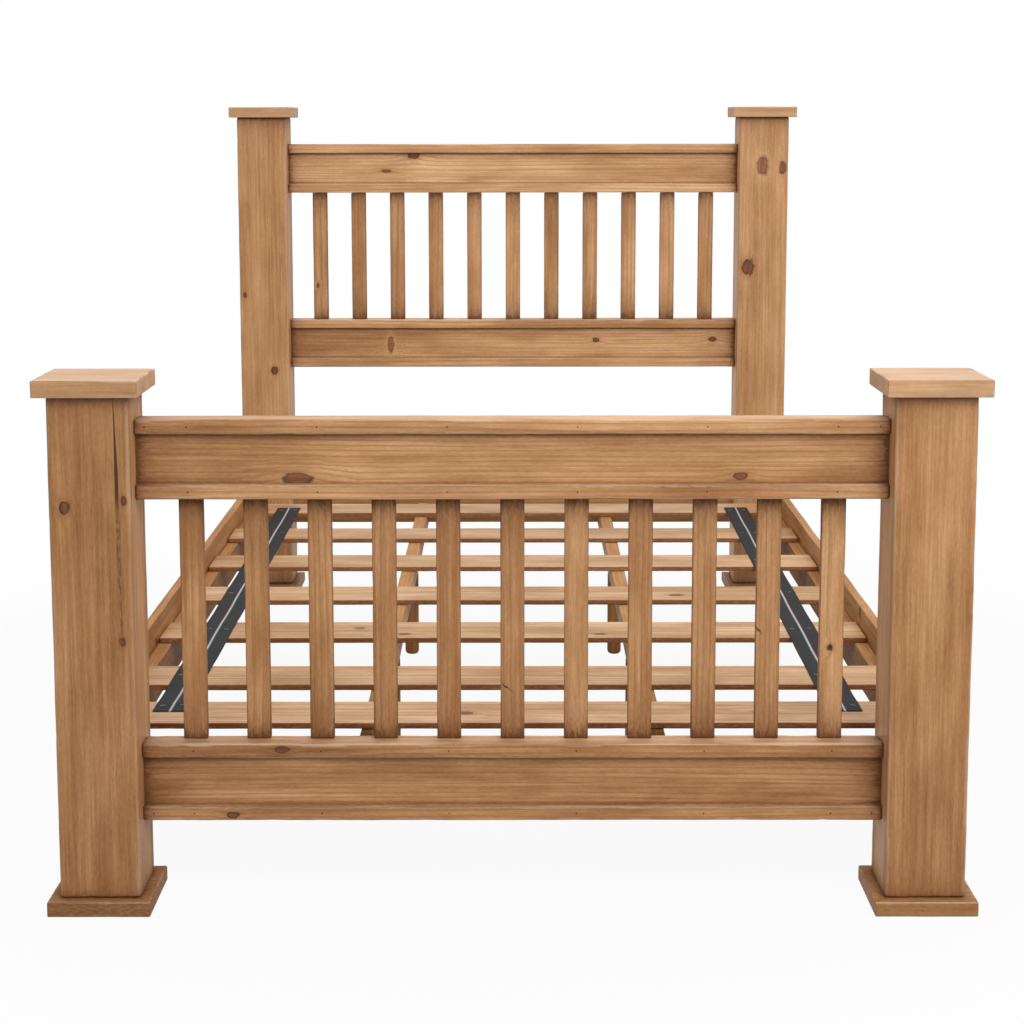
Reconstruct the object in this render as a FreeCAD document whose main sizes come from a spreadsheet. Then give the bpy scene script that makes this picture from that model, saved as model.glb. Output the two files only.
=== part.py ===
"""Slatted double bed frame in pine.

Four hollow box posts carry a headboard and a footboard of framed rails and flat spindles. Two side rails
hook into the posts and hold ledgers, two centre beams stand on legs, and seven slats linked by two webbing
straps lie across them. The origin is on the floor at the middle of the bed, +X is to the right seen from the
foot, +Y points to the headboard and +Z up. All lengths are in millimetres.
"""
import FreeCAD, Part
import os
import re
from types import SimpleNamespace

import Sketcher

# Driving sizes: alias, value, meaning
SIZES = (
    ("post_span", "1460", "posts, centre to centre across the bed"),
    ("rail_length", "2084", "clear length between the foot posts and the head posts"),
    ("post_wide", "142", "post, across the bed"),
    ("post_deep", "123", "post, along the bed"),
    ("post_board", "20", "thickness of the boards of a post"),
    ("post_ease", "4", "rounding of a post's corners"),
    ("post_block", "70", "height of the solid blocks in a post's ends"),
    ("foot_top", "955", "floor to the top of the foot caps"),
    ("head_top", "1440", "floor to the top of the head caps"),
    ("cap_over", "20", "overhang of a cap on each side"),
    ("cap_thick", "30", "thickness of a cap"),
    ("plinth_over", "20", "overhang of a plinth on each side"),
    ("plinth_thick", "27", "thickness of a plinth"),
    ("slab_ease", "3", "rounding of the caps and plinths"),
    ("cross_tall", "142", "height of a cross rail"),
    ("cross_deep", "46", "depth of a cross rail over its flanges"),
    ("flange_thick", "27", "height of a flange"),
    ("flange_ease", "3", "rounding of a flange's long edges"),
    ("web_thick", "20", "thickness of the web board"),
    ("outer_wall", "9", "flange beyond the web, away from the spindles"),
    ("spindle_groove", "6", "depth of the web in the flange that holds the spindles"),
    ("groove_wall", "2", "wood between the web and the spindles' mortises"),
    ("web_tenon", "72", "height of the web's tenon"),
    ("foot_lower_base", "154", "floor to the footboard's lower rail"),
    ("foot_upper_drop", "76", "top of the foot caps down to the upper rail"),
    ("head_lower_base", "675", "floor to the headboard's lower rail"),
    ("head_upper_drop", "107", "top of the head caps down to the upper rail"),
    ("spindle_wide", "43", "width of a spindle"),
    ("spindle_thick", "15", "thickness of a spindle"),
    ("spindle_shift", "12", "spindles off the rails' middle, towards the mattress"),
    ("spindle_ease", "2", "rounding of a spindle's long edges"),
    ("spindle_tenon_wide", "31", "width of a spindle's tenon"),
    ("spindle_tenon_thick", "8", "thickness of a spindle's tenon"),
    ("tenon_end_gap", "1", "room at the end of a blind tenon"),
    ("side_rail_thick", "20", "thickness of a side rail"),
    ("side_rail_inset", "5", "side rail back from the posts' outer faces"),
    ("side_rail_lip", "58", "side rail above the ledger"),
    ("side_rail_ease", "3", "rounding of a side rail's long edges"),
    ("ledger_wide", "30", "width of a ledger's top"),
    ("ledger_tall", "75", "height of a ledger"),
    ("ledger_short", "15", "ledger short of the posts at each end"),
    ("bearer_gap", "7", "foot rail's top flange down to the ledgers and beams"),
    ("bearer_ease", "3", "rounding of the ledgers and beams"),
    ("beam_place", "267", "centre beam off the bed's middle"),
    ("beam_wide", "34", "width of a centre beam"),
    ("beam_tall", "47", "height of a centre beam"),
    ("beam_tenon", "18", "width and height of a beam's tenons"),
    ("beam_tenon_long", "14", "length of the tenons on beams and legs"),
    ("leg_wide", "36", "diameter of a centre leg"),
    ("leg_tenon", "18", "diameter of a leg's tenon"),
    ("leg_ease", "8", "rounding of a leg's foot"),
    ("stretcher_thick", "27", "thickness of the head stretcher"),
    ("stretcher_tall", "80", "height of the head stretcher"),
    ("stretcher_lap", "12", "stretcher below the beams"),
    ("stretcher_tenon", "56", "height of the stretcher's tenon"),
    ("slat_wide", "128", "width of a slat"),
    ("slat_thick", "12", "thickness of a slat"),
    ("slat_ease", "2", "rounding of a slat's long edges"),
    ("slat_end_gap", "3", "slat short of the side rail at each end"),
    ("slat_seat_gap", "0.3", "slat above the ledgers at rest"),
    ("slat_foot_margin", "92", "foot posts to the first slat"),
    ("slat_head_margin", "20", "last slat to the head posts"),
    ("strap_inset", "128", "side rail's inner face to a strap's middle"),
    ("strap_wide", "67", "width of a strap"),
    ("strap_thick", "1.6", "thickness of a strap"),
    ("strap_gap", "0.3", "strap above the slats"),
    ("staple_wide", "11", "width of a staple"),
    ("staple_wire", "1.2", "thickness of a staple's wire"),
    ("staple_long", "9", "staple's legs below its crown"),
    ("staple_edge", "14", "staple in from a strap's edge"),
    ("staple_hole_gap", "0.2", "room round a staple's leg"),
    ("plate_thick", "2.5", "thickness of the hook plates"),
    ("plate_end", "12", "hook plate beyond the hooks at each end"),
    ("plate_margin", "3", "hook plate in from the side rail's faces"),
    ("hook_thick", "3", "thickness of a hook"),
    ("hook_tall", "12", "height of a hook's neck"),
    ("hook_reach", "9", "hook beyond the joint"),
    ("hook_drop", "8", "hook's lip below its neck"),
    ("hook_room", "14", "room above a hook's neck to lift it out"),
    ("hook_spacing", "44", "hooks, one above the other"),
    ("hook_gap", "0.4", "room round a hook"),
    ("nail_wide", "3", "diameter of a nail"),
    ("nail_sunk", "0.6", "nail head below the surface"),
    ("nail_gap", "0.2", "room in a nail's bore"),
    ("nail_end", "19", "flange's end nail in from the post"),
    ("screw_wide", "4.5", "diameter of a screw"),
    ("screw_long", "40", "length of a screw"),
    ("screw_gap", "0.2", "room in a screw's bore"),
    ("ledger_screw_end", "120", "ledger's first screw in from its end"),
    ("cut_over", "5", "overrun of all cuts"),
)

# Sizes worked out from those: alias, formula, meaning
PLACES = (
    ("post_at", "(rail_length + post_deep) / 2", "post centres along the bed"),
    ("cross_long", "post_span - post_wide", "clear length of a cross rail"),
    ("outer_groove", "flange_thick - outer_wall", "depth of the web in the flange away from the spindles"),
    ("spindle_tenon_long", "flange_thick - spindle_groove - groove_wall - tenon_end_gap", "spindle's tenon"),
    ("foot_upper_base", "foot_top - foot_upper_drop - cross_tall", "floor to the foot's upper rail"),
    ("head_upper_base", "head_top - head_upper_drop - cross_tall", "floor to the head's upper rail"),
    ("rail_outer", "(post_span + post_wide) / 2 - side_rail_inset", "side rail's outer face"),
    ("rail_inner", "rail_outer - side_rail_thick", "side rail's inner face"),
    ("strap_place", "rail_inner - strap_inset", "strap's middle off the bed's middle"),
    ("bearer_top", "foot_lower_base + cross_tall - flange_thick - bearer_gap", "top of ledgers and beams"),
    ("beam_base", "bearer_top - beam_tall", "beams' underside"),
    ("slat_base", "bearer_top + slat_seat_gap", "slats' underside"),
    ("slat_reach", "rail_length - slat_foot_margin - slat_head_margin - slat_wide", "first slat to last"),
    ("side_rail_tall", "bearer_top + side_rail_lip - foot_lower_base", "height of a side rail"),
    ("plate_wide", "side_rail_thick - 2 * plate_margin", "width of a hook plate"),
    ("plate_tall", "hook_spacing + hook_tall + hook_room + 2 * (hook_drop + plate_end)", "its height"),
    ("plate_mid", "foot_lower_base + side_rail_tall / 2", "middle of a hook plate"),
)

SPINDLES = 11
LEDGER_SCREWS = 6
# Slats from the first to the last, and legs along the side rails, as shares of those lengths
slat_shares = (0, 0.126, 0.306, 0.477, 0.652, 0.823, 1)
leg_shares = (0.334, 0.7015)
# Ends, sides and hooks on one side of the middle or the other, as shares of the distance from it
end_shares = (("foot", -1), ("head", 1))
side_shares = (("left", -1), ("right", 1))
hook_shares = (-1, 1)

doc = FreeCAD.newDocument("BedFrame")
sheet = doc.addObject("Spreadsheet::Sheet", "Sizes")
for row, (alias, number, meaning) in enumerate(SIZES, start=1):
    sheet.set(f"A{row}", meaning)
    sheet.set(f"B{row}", number)
    sheet.setAlias(f"B{row}", alias)
for row, (alias, rule, meaning) in enumerate(PLACES, start=1):
    sheet.set(f"D{row}", meaning)
    sheet.set(f"E{row}", "=" + rule)
    sheet.setAlias(f"E{row}", alias)
doc.recompute()
aliases = [alias for alias, text, meaning in SIZES + PLACES]
size = SimpleNamespace(**{alias: float(sheet.get(alias)) for alias in aliases})
nodes = {}


def formula(text):
    """An expression with the sheet's name before each of its aliases."""
    return re.sub("[a-z_]+", lambda word: ("Sizes." if word[0] in aliases else "") + word[0], text)


def bind(piece, prop, text):
    piece.setExpression(prop, formula(text))


def place(piece, corner):
    for axis, text in zip("xyz", corner):
        bind(piece, ".Placement.Base." + axis, text)


def block(label, lengths, corner):
    """A plain square block with its lowest corner at the given place."""
    piece = doc.addObject("Part::Box", label)
    for prop, text in zip(("Length", "Width", "Height"), lengths):
        bind(piece, prop, text)
    place(piece, corner)
    return piece


# The plane of a board's section and its two directions, for each direction of the grain
SECTIONS = {"x": ("YZ_Plane", "yz"), "y": ("XZ_Plane", "xz"), "z": ("XY_Plane", "xy")}


def sketched(label, plane):
    """A body with an empty sketch on one plane of its own origin."""
    body = doc.addObject("PartDesign::Body", label)
    section = body.newObject("Sketcher::SketchObject", label + "_section")
    origin = [feature for feature in body.Origin.OriginFeatures if feature.Role == plane]
    section.AttachmentSupport = [(origin[0], "")]
    section.MapMode = "FlatFace"
    return body, section


def board(label, grain, lengths, corner, ease, eased=None, ends=False):
    """A board padded along its grain, with its long edges eased: all four, or those that eased picks.

    eased gets the edge's middle and the board's own middle. With ends, the edges of the ends are eased too.
    """
    plane, axes = SECTIONS[grain]
    across, up = ["xyz".index(axis) for axis in axes]
    body, section = sketched(label, plane)
    unit = [FreeCAD.Vector(*point) for point in ((0, 0), (1, 0), (1, 1), (0, 1))]
    section.addGeometry([Part.LineSegment(unit[k], unit[(k + 1) % 4]) for k in range(4)], False)
    rules = [Sketcher.Constraint("Coincident", k, 2, (k + 1) % 4, 1) for k in range(4)]
    rules += [Sketcher.Constraint("Horizontal", k) for k in (0, 2)]
    rules += [Sketcher.Constraint("Vertical", k) for k in (1, 3)]
    rules.append(Sketcher.Constraint("Coincident", 0, 1, -1, 1))
    section.addConstraint(rules)
    section.renameConstraint(section.addConstraint(Sketcher.Constraint("DistanceX", 0, 1, 0, 2, 1)), "across")
    section.renameConstraint(section.addConstraint(Sketcher.Constraint("DistanceY", 1, 1, 1, 2, 1)), "up")
    bind(section, "Constraints.across", lengths[across])
    bind(section, "Constraints.up", lengths[up])
    pad = body.newObject("PartDesign::Pad", label + "_pad")
    pad.Profile = section
    pad.Reversed = grain == "y"
    bind(pad, "Length", lengths["xyz".index(grain)])
    doc.recompute()
    middle = pad.Shape.BoundBox.Center
    picked = []
    for number, edge in enumerate(pad.Shape.Edges, start=1):
        along = abs(getattr(edge.tangentAt(edge.FirstParameter), grain)) > 0.5
        if along and (eased is None or eased(edge.CenterOfMass, middle)) or ends and not along:
            picked.append(f"Edge{number}")
    fillet = body.newObject("PartDesign::Fillet", label + "_ease")
    fillet.Base = (pad, picked)
    bind(fillet, "Radius", ease)
    place(body, corner)
    return body


def turned(label, wide, tall, foot, ease):
    """A round upright leg with the edge of its foot rounded, on the given middle of its foot."""
    body, section = sketched(label, "XY_Plane")
    section.addGeometry(Part.Circle(FreeCAD.Vector(), FreeCAD.Vector(0, 0, 1), 1), False)
    section.addConstraint(Sketcher.Constraint("Coincident", 0, 3, -1, 1))
    section.renameConstraint(section.addConstraint(Sketcher.Constraint("Radius", 0, 1)), "reach")
    bind(section, "Constraints.reach", wide + " / 2")
    pad = body.newObject("PartDesign::Pad", label + "_pad")
    pad.Profile = section
    bind(pad, "Length", tall)
    doc.recompute()
    rim = [f"Edge{number}" for number, edge in enumerate(pad.Shape.Edges, start=1)
           if edge.BoundBox.ZMax < pad.Shape.BoundBox.Center.z]
    fillet = body.newObject("PartDesign::Fillet", label + "_ease")
    fillet.Base = (pad, rim)
    bind(fillet, "Radius", ease)
    place(body, foot)
    return body


def rod(label, wide, tall, foot):
    """A plain round upright rod on the given middle of its foot."""
    piece = doc.addObject("Part::Cylinder", label)
    bind(piece, "Radius", wide + " / 2")
    bind(piece, "Height", tall)
    place(piece, foot)
    return piece


def joined(label, pieces):
    piece = doc.addObject("Part::MultiFuse", label)
    piece.Shapes = pieces
    piece.Refine = True
    return piece


def grouped(label, pieces):
    piece = doc.addObject("Part::Compound", label)
    piece.Links = pieces
    return piece


def cut(label, base, tools):
    piece = doc.addObject("Part::Cut", label)
    piece.Base = base
    piece.Tool = tools[0] if len(tools) == 1 else grouped(label + "_tools", tools)
    return piece


# Box posts: two wide boards with two narrower side boards and two end blocks between them
blocks = []
for end, along in end_shares:
    tall = f"{end}_top - cap_thick - plinth_thick"
    for side, across in side_shares:
        post = f"{end}_{side}_post"
        left = f"{across} * post_span / 2 - post_wide / 2"
        front = f"{along} * post_at - post_deep / 2"
        back = f"{along} * post_at + post_deep / 2 - post_board"
        wide = ("post_wide", "post_board", tall)
        outer, inner = (front, back) if along < 0 else (back, front)
        nodes[f"{post}_outer_board"] = board(
            f"{post}_outer", "z", wide, (left, outer, "plinth_thick"), "post_ease",
            lambda edge, middle, along=along: (edge.y - middle.y) * along > 0)
        bed_side = board(
            f"{post}_bed_side", "z", wide, (left, inner, "plinth_thick"), "post_ease",
            lambda edge, middle, along=along: (edge.y - middle.y) * along < 0)

        # The slotted plate is let into the bed-side board, with a pocket behind each slot
        face = f"{along} * rail_length / 2"
        plate_left = f"{across} * (rail_inner + rail_outer) / 2 - plate_wide / 2"
        plate_low = "plate_mid - plate_tall / 2"
        seat_y = face if along > 0 else f"{face} - plate_thick"
        seats = [block(f"{post}_plate_seat", ("plate_wide", "plate_thick", "plate_tall"),
                       (plate_left, seat_y, plate_low))]
        for hook in hook_shares:
            pocket_y = face if along > 0 else f"{face} - hook_reach - hook_gap"
            slot_low = f"plate_mid + {hook} * hook_spacing / 2 - (hook_tall + hook_room) / 2"
            seats.append(block(
                f"{post}_hook_pocket",
                ("hook_thick + 2 * hook_gap", "hook_reach + hook_gap",
                 "hook_tall + hook_room + hook_drop + hook_gap"),
                (f"{across} * (rail_inner + rail_outer) / 2 - hook_thick / 2 - hook_gap", pocket_y,
                 f"{slot_low} - hook_drop - hook_gap")))
        nodes[f"{post}_bed_side_board"] = cut(f"{post}_bed_side_cut", bed_side, seats)

        # The side board that faces the other post is mortised for the cross rails
        narrow = ("post_board", "post_deep - 2 * post_board", tall)
        middle_y = f"{along} * post_at - post_deep / 2 + post_board"
        right = f"{across} * post_span / 2 + post_wide / 2 - post_board"
        facing, outside = (right, left) if across < 0 else (left, right)
        mortises = []
        for level in ("lower", "upper"):
            mortises.append(block(
                f"{post}_{level}_mortise", ("post_board", "web_thick", "web_tenon"),
                (facing, f"{along} * post_at - web_thick / 2",
                 f"{end}_{level}_base + cross_tall / 2 - web_tenon / 2")))
        if end == "head":
            mortises.append(block(
                f"{post}_stretcher_mortise", ("post_board", "stretcher_thick", "stretcher_tenon"),
                (facing, f"{along} * post_at - stretcher_thick / 2",
                 "beam_base - stretcher_lap + (stretcher_tall - stretcher_tenon) / 2")))
        facing_board = block(f"{post}_facing", narrow, (facing, middle_y, "plinth_thick"))
        outside_board = block(f"{post}_outside", narrow, (outside, middle_y, "plinth_thick"))
        nodes[f"{post}_side_boards"] = grouped(
            f"{post}_sides", [cut(f"{post}_facing_cut", facing_board, mortises), outside_board])

        core = ("post_wide - 2 * post_board", "post_deep - 2 * post_board", "post_block")
        for name, low in (("low", "plinth_thick"), ("high", f"{end}_top - cap_thick - post_block")):
            blocks.append(block(f"{post}_{name}_block", core, (f"{left} + post_board", middle_y, low)))

        for name, low in (("cap", f"{end}_top - cap_thick"), ("plinth", "0")):
            nodes[f"{end}_{side}_{name}"] = board(
                f"{end}_{side}_{name}", "z",
                (f"post_wide + 2 * {name}_over", f"post_deep + 2 * {name}_over", f"{name}_thick"),
                (f"{left} - {name}_over", f"{front} - {name}_over", low), "slab_ease", ends=True)
nodes["post_blocks"] = grouped("post_end_blocks", blocks)

# Cross rails: a web board grooved into two flanges and tenoned into the posts, with spindles between
spindle_gap = f"((cross_long - {SPINDLES} * spindle_wide) / {SPINDLES + 1})"
for end, along in end_shares:
    name = f"{end}board"
    spindle_y = f"{along} * (post_at - spindle_shift)"
    for level in ("lower", "upper"):
        base = f"{end}_{level}_base"
        rail = f"{name}_{level}"
        grooves = ("outer_groove", "spindle_groove")
        if level == "upper":
            grooves = grooves[::-1]
        web_y = f"{along} * post_at - web_thick / 2"
        web_low = f"{base} + flange_thick - {grooves[0]}"
        web_tall = f"cross_tall - 2 * flange_thick + {grooves[0]} + {grooves[1]}"
        panel = block(
            f"{rail}_panel", ("cross_long", "web_thick", web_tall), ("-cross_long / 2", web_y, web_low))
        tenon = block(
            f"{rail}_tenon", ("cross_long + 2 * post_board", "web_thick", "web_tenon"),
            ("-cross_long / 2 - post_board", web_y, f"{base} + (cross_tall - web_tenon) / 2"))
        web = joined(f"{rail}_web_board", [panel, tenon])
        if name == "footboard" and level == "lower":
            sockets = [block(
                f"{rail}_{side}_socket", ("beam_tenon", "beam_tenon_long + tenon_end_gap", "beam_tenon"),
                (f"{across} * beam_place - beam_tenon / 2",
                 "web_thick / 2 - post_at - beam_tenon_long - tenon_end_gap",
                 "beam_base + (beam_tall - beam_tenon) / 2")) for side, across in side_shares]
            web = cut(f"{rail}_web_cut", web, sockets)
        nodes[f"{rail}_web"] = web
        for flange, low in (("bottom", base), ("top", f"{base} + cross_tall - flange_thick")):
            strip = board(
                f"{rail}_{flange}_strip", "x", ("cross_long", "cross_deep", "flange_thick"),
                ("-cross_long / 2", f"{along} * post_at - cross_deep / 2", low), "flange_ease")
            groove = grooves[0] if flange == "bottom" else grooves[1]
            groove_low = f"{low} + flange_thick - {groove}" if flange == "bottom" else low
            tools = [block(f"{rail}_{flange}_groove", ("cross_long", "web_thick", groove),
                           ("-cross_long / 2", web_y, groove_low))]
            if groove == "spindle_groove":
                depth = "(spindle_tenon_long + tenon_end_gap)"
                mortise_low = low if flange == "bottom" else f"{low} + flange_thick - {depth}"
                for k in range(SPINDLES):
                    centre = f"-cross_long / 2 + {k + 1} * {spindle_gap} + {k + 0.5} * spindle_wide"
                    tools.append(block(
                        f"{rail}_mortise", ("spindle_tenon_wide", "spindle_tenon_thick", depth),
                        (f"{centre} - spindle_tenon_wide / 2", f"{spindle_y} - spindle_tenon_thick / 2",
                         mortise_low)))
            nodes[f"{rail}_{flange}_flange"] = cut(f"{rail}_{flange}_cut", strip, tools)

    spindle_low = f"{end}_lower_base + cross_tall"
    spindle_tall = f"{end}_upper_base - {end}_lower_base - cross_tall"
    shaft = board(
        f"{name}_spindle_shaft", "z", ("spindle_wide", "spindle_thick", spindle_tall),
        ("-spindle_wide / 2", f"{spindle_y} - spindle_thick / 2", spindle_low), "spindle_ease")
    core = block(
        f"{name}_spindle_core",
        ("spindle_tenon_wide", "spindle_tenon_thick", f"{spindle_tall} + 2 * spindle_tenon_long"),
        ("-spindle_tenon_wide / 2", f"{spindle_y} - spindle_tenon_thick / 2",
         f"{spindle_low} - spindle_tenon_long"))
    spindle = joined(f"{name}_spindle", [shaft, core])
    row = []
    for k in range(SPINDLES):
        copy = doc.addObject("App::Link", f"{name}_spindle_copy")
        copy.LinkedObject = spindle
        centre = f"-cross_long / 2 + {k + 1} * {spindle_gap} + {k + 0.5} * spindle_wide"
        place(copy, (centre, "0", "0"))
        row.append(copy)
    nodes[f"{name}_spindles"] = grouped(f"{name}_spindle_row", row)

# Side rails with a seat for the hook plate in each end, and ledgers along their inner faces
for side, across in side_shares:
    rail_left = "rail_inner" if across > 0 else "-rail_outer"
    plank = board(
        f"{side}_plank", "y", ("side_rail_thick", "rail_length", "side_rail_tall"),
        (rail_left, "-rail_length / 2", "foot_lower_base"), "side_rail_ease")
    seats = [block(
        f"{side}_{end}_seat", ("plate_wide", "plate_thick", "plate_tall"),
        (f"{across} * (rail_inner + rail_outer) / 2 - plate_wide / 2",
         f"{along} * rail_length / 2" + (" - plate_thick" if along > 0 else ""),
         "plate_mid - plate_tall / 2")) for end, along in end_shares]
    nodes[f"{side}_side_rail"] = cut(f"{side}_side_rail_cut", plank, seats)
    ledger_left = "rail_inner - ledger_wide" if across > 0 else "-rail_inner"
    nodes[f"{side}_ledger"] = board(
        f"{side}_ledger_strip", "y", ("ledger_wide", "rail_length - 2 * ledger_short", "ledger_tall"),
        (ledger_left, "-rail_length / 2 + ledger_short", "bearer_top - ledger_tall"), "bearer_ease",
        lambda edge, middle, across=across: (edge.x - middle.x) * across < 0)

# Centre beams, tenoned into the foot rail's web and the head stretcher, each on two round tenoned legs
beam_long = "2 * post_at - web_thick / 2 - stretcher_thick / 2"
beam_front = "web_thick / 2 - post_at"
for side, across in side_shares:
    beam_left = f"{across} * beam_place - beam_wide / 2"
    tenon_left = f"{across} * beam_place - beam_tenon / 2"
    bar = board(
        f"{side}_beam_bar", "y", ("beam_wide", beam_long, "beam_tall"), (beam_left, beam_front, "beam_base"),
        "bearer_ease")
    core = block(
        f"{side}_beam_core", ("beam_tenon", f"{beam_long} + 2 * beam_tenon_long", "beam_tenon"),
        (tenon_left, f"{beam_front} - beam_tenon_long", "beam_base + (beam_tall - beam_tenon) / 2"))
    sockets = []
    for name, share in zip(("foot", "head"), leg_shares):
        leg_x, leg_y = f"{across} * beam_place", f"-rail_length / 2 + {share} * rail_length"
        sockets.append(rod(
            f"{side}_{name}_leg_socket", "leg_tenon", "beam_tenon_long + tenon_end_gap",
            (leg_x, leg_y, "beam_base")))
        stick = turned(f"{side}_{name}_leg_stick", "leg_wide", "beam_base", (leg_x, leg_y, "0"), "leg_ease")
        peg = rod(
            f"{side}_{name}_leg_peg", "leg_tenon", "beam_base + beam_tenon_long", (leg_x, leg_y, "0"))
        nodes[f"{side}_centre_leg_{name}"] = joined(f"{side}_{name}_leg", [stick, peg])
    nodes[f"{side}_centre_beam"] = cut(
        f"{side}_beam_cut", joined(f"{side}_beam_joined", [bar, core]), sockets)

stretcher_y = "post_at - stretcher_thick / 2"
stretcher_low = "beam_base - stretcher_lap"
stretcher_panel = board(
    "stretcher_panel", "x", ("cross_long", "stretcher_thick", "stretcher_tall"),
    ("-cross_long / 2", stretcher_y, stretcher_low), "bearer_ease")
stretcher_core = block(
    "stretcher_core", ("cross_long + 2 * post_board", "stretcher_thick", "stretcher_tenon"),
    ("-cross_long / 2 - post_board", stretcher_y,
     f"{stretcher_low} + (stretcher_tall - stretcher_tenon) / 2"))
stretcher_sockets = [block(
    f"stretcher_{side}_socket", ("beam_tenon", "beam_tenon_long + tenon_end_gap", "beam_tenon"),
    (f"{across} * beam_place - beam_tenon / 2", stretcher_y, "beam_base + (beam_tall - beam_tenon) / 2"))
    for side, across in side_shares]
nodes["head_stretcher"] = cut(
    "stretcher_cut", joined("stretcher_joined", [stretcher_panel, stretcher_core]), stretcher_sockets)

# Hook plates on the rail ends and slotted plates in the posts, with two hooks and two slots each
hook_plates = []
post_plates = []
for side, across in side_shares:
    rail_mid = f"{across} * (rail_inner + rail_outer) / 2"
    for end, along in end_shares:
        name = f"{side}_{end}"
        face = f"{along} * rail_length / 2"
        rail_y, post_y = (f"{face} - plate_thick", face) if along > 0 else (face, f"{face} - plate_thick")
        flat = ("plate_wide", "plate_thick", "plate_tall")
        plate_left = f"{rail_mid} - plate_wide / 2"
        plate_low = "plate_mid - plate_tall / 2"
        hooked = [block(f"{name}_hook_plate", flat, (plate_left, rail_y, plate_low))]
        slots = []
        for hook in hook_shares:
            hook_low = f"plate_mid + {hook} * hook_spacing / 2 - (hook_tall + hook_room) / 2"
            hook_left = f"{rail_mid} - hook_thick / 2"
            neck_y = face if along > 0 else f"{face} - hook_reach"
            lip_y = f"{face} + plate_thick + hook_gap" if along > 0 else f"{face} - hook_reach"
            hooked.append(block(
                f"{name}_hook_neck", ("hook_thick", "hook_reach", "hook_tall"),
                (hook_left, neck_y, hook_low)))
            hooked.append(block(
                f"{name}_hook_lip",
                ("hook_thick", "hook_reach - plate_thick - hook_gap", "hook_tall + hook_drop"),
                (hook_left, lip_y, f"{hook_low} - hook_drop")))
            slots.append(block(
                f"{name}_slot", ("hook_thick + 2 * hook_gap", "plate_thick", "hook_tall + hook_room"),
                (f"{hook_left} - hook_gap", post_y, hook_low)))
        hook_plates.append(joined(f"{name}_hooked_plate", hooked))
        slotted = block(f"{name}_post_plate", flat, (plate_left, post_y, plate_low))
        post_plates.append(cut(f"{name}_slotted_plate", slotted, slots))
nodes["rail_hook_plates"] = grouped("hook_plate_set", hook_plates)
nodes["post_slot_plates"] = grouped("slot_plate_set", post_plates)

# Slats across the ledgers and beams, linked by two straps that run from the first slat to the last
slat_places = [f"(-rail_length / 2 + slat_foot_margin + {share} * slat_reach)" for share in slat_shares]
for number, slat_y in enumerate(slat_places, start=1):
    nodes[f"slat_{number}"] = board(
        f"slat_{number}_board", "x", ("2 * rail_inner - 2 * slat_end_gap", "slat_wide", "slat_thick"),
        ("slat_end_gap - rail_inner", slat_y, "slat_base"), "slat_ease")
for side, across in side_shares:
    nodes[f"{side}_strap"] = block(
        f"{side}_strap_band", ("strap_wide", "slat_reach", "strap_thick"),
        (f"{across} * strap_place - strap_wide / 2", f"{slat_places[0]} + slat_wide / 2",
         "slat_base + slat_thick + strap_gap"))
doc.recompute()


def upright(x, y, z, wide, deep, tall):
    """A small block centred on x and y, standing on z."""
    return Part.makeBox(wide, deep, tall, FreeCAD.Vector(x - wide / 2, y - deep / 2, z))


def staple_rows():
    """The middle of each staple, two to each crossing of a strap and a slat."""
    strap_low = -size.rail_length / 2 + size.slat_foot_margin + size.slat_wide / 2
    strap_high = strap_low + size.slat_reach
    for share in slat_shares:
        low = -size.rail_length / 2 + size.slat_foot_margin + share * size.slat_reach
        y = (max(low, strap_low) + min(low + size.slat_wide, strap_high)) / 2
        for side, across in side_shares:
            for edge in (-1, 1):
                yield across * size.strap_place + edge * (size.strap_wide / 2 - size.staple_edge), y


def fastener(shape_list, bore_list, head, way, long, wide, gap):
    """A straight fastener from its head along way, and the bore that it sits in."""
    start = head - way * size.cut_over
    shape_list.append(Part.makeCylinder(wide / 2, long, head, way))
    bore_list.append(Part.makeCylinder((wide + gap) / 2, long + size.cut_over, start, way))


def at(x, y, z):
    return FreeCAD.Vector(x, y, z)


# Staples: a crown on the strap and two legs through it into the slat
strap_top = size.slat_base + size.slat_thick + size.strap_gap + size.strap_thick
staples = []
bores = []
for x, y in staple_rows():
    crown = upright(x, y, strap_top, size.staple_wide, size.staple_wire, size.staple_wire)
    room = size.staple_wire + 2 * size.staple_hole_gap
    for edge in (-1, 1):
        leg_x = x + edge * (size.staple_wide - size.staple_wire) / 2
        leg = upright(leg_x, y, strap_top - size.staple_long, size.staple_wire, size.staple_wire,
                      size.staple_long + size.staple_wire)
        crown = crown.fuse(leg)
        bores.append(upright(leg_x, y, strap_top - size.staple_long - size.staple_hole_gap, room, room,
                             size.staple_long + size.cut_over))
    staples.append(crown.removeSplitter())

# Nails through the flanges: at every second spindle, and at the ends of the flanges away from the spindles
nails = []
nail_long = size.cross_deep / 2 + size.spindle_shift + size.spindle_tenon_thick / 2 - 2 * size.nail_sunk
for end, along in end_shares:
    head_y = along * (size.post_at + size.cross_deep / 2 - size.nail_sunk)
    gap = (size.cross_long - SPINDLES * size.spindle_wide) / (SPINDLES + 1)
    first = gap + size.spindle_wide / 2 - size.cross_long / 2
    pinned = [first + k * (gap + size.spindle_wide) for k in range(0, SPINDLES, 2)]
    ends = [edge * (size.cross_long / 2 - size.nail_end) for edge in (-1, 1)]
    for level in ("lower", "upper"):
        base = getattr(size, f"{end}_{level}_base")
        low_nail = base + size.flange_thick / 2
        high_nail = base + size.cross_tall - size.flange_thick / 2
        outer_z, spindle_z = (low_nail, high_nail) if level == "lower" else (high_nail, low_nail)
        for x, z in [(x, outer_z) for x in pinned + ends] + [(x, spindle_z) for x in pinned]:
            head = at(x, head_y, z)
            fastener(nails, bores, head, at(0, -along, 0), nail_long, size.nail_wide, size.nail_gap)

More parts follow.
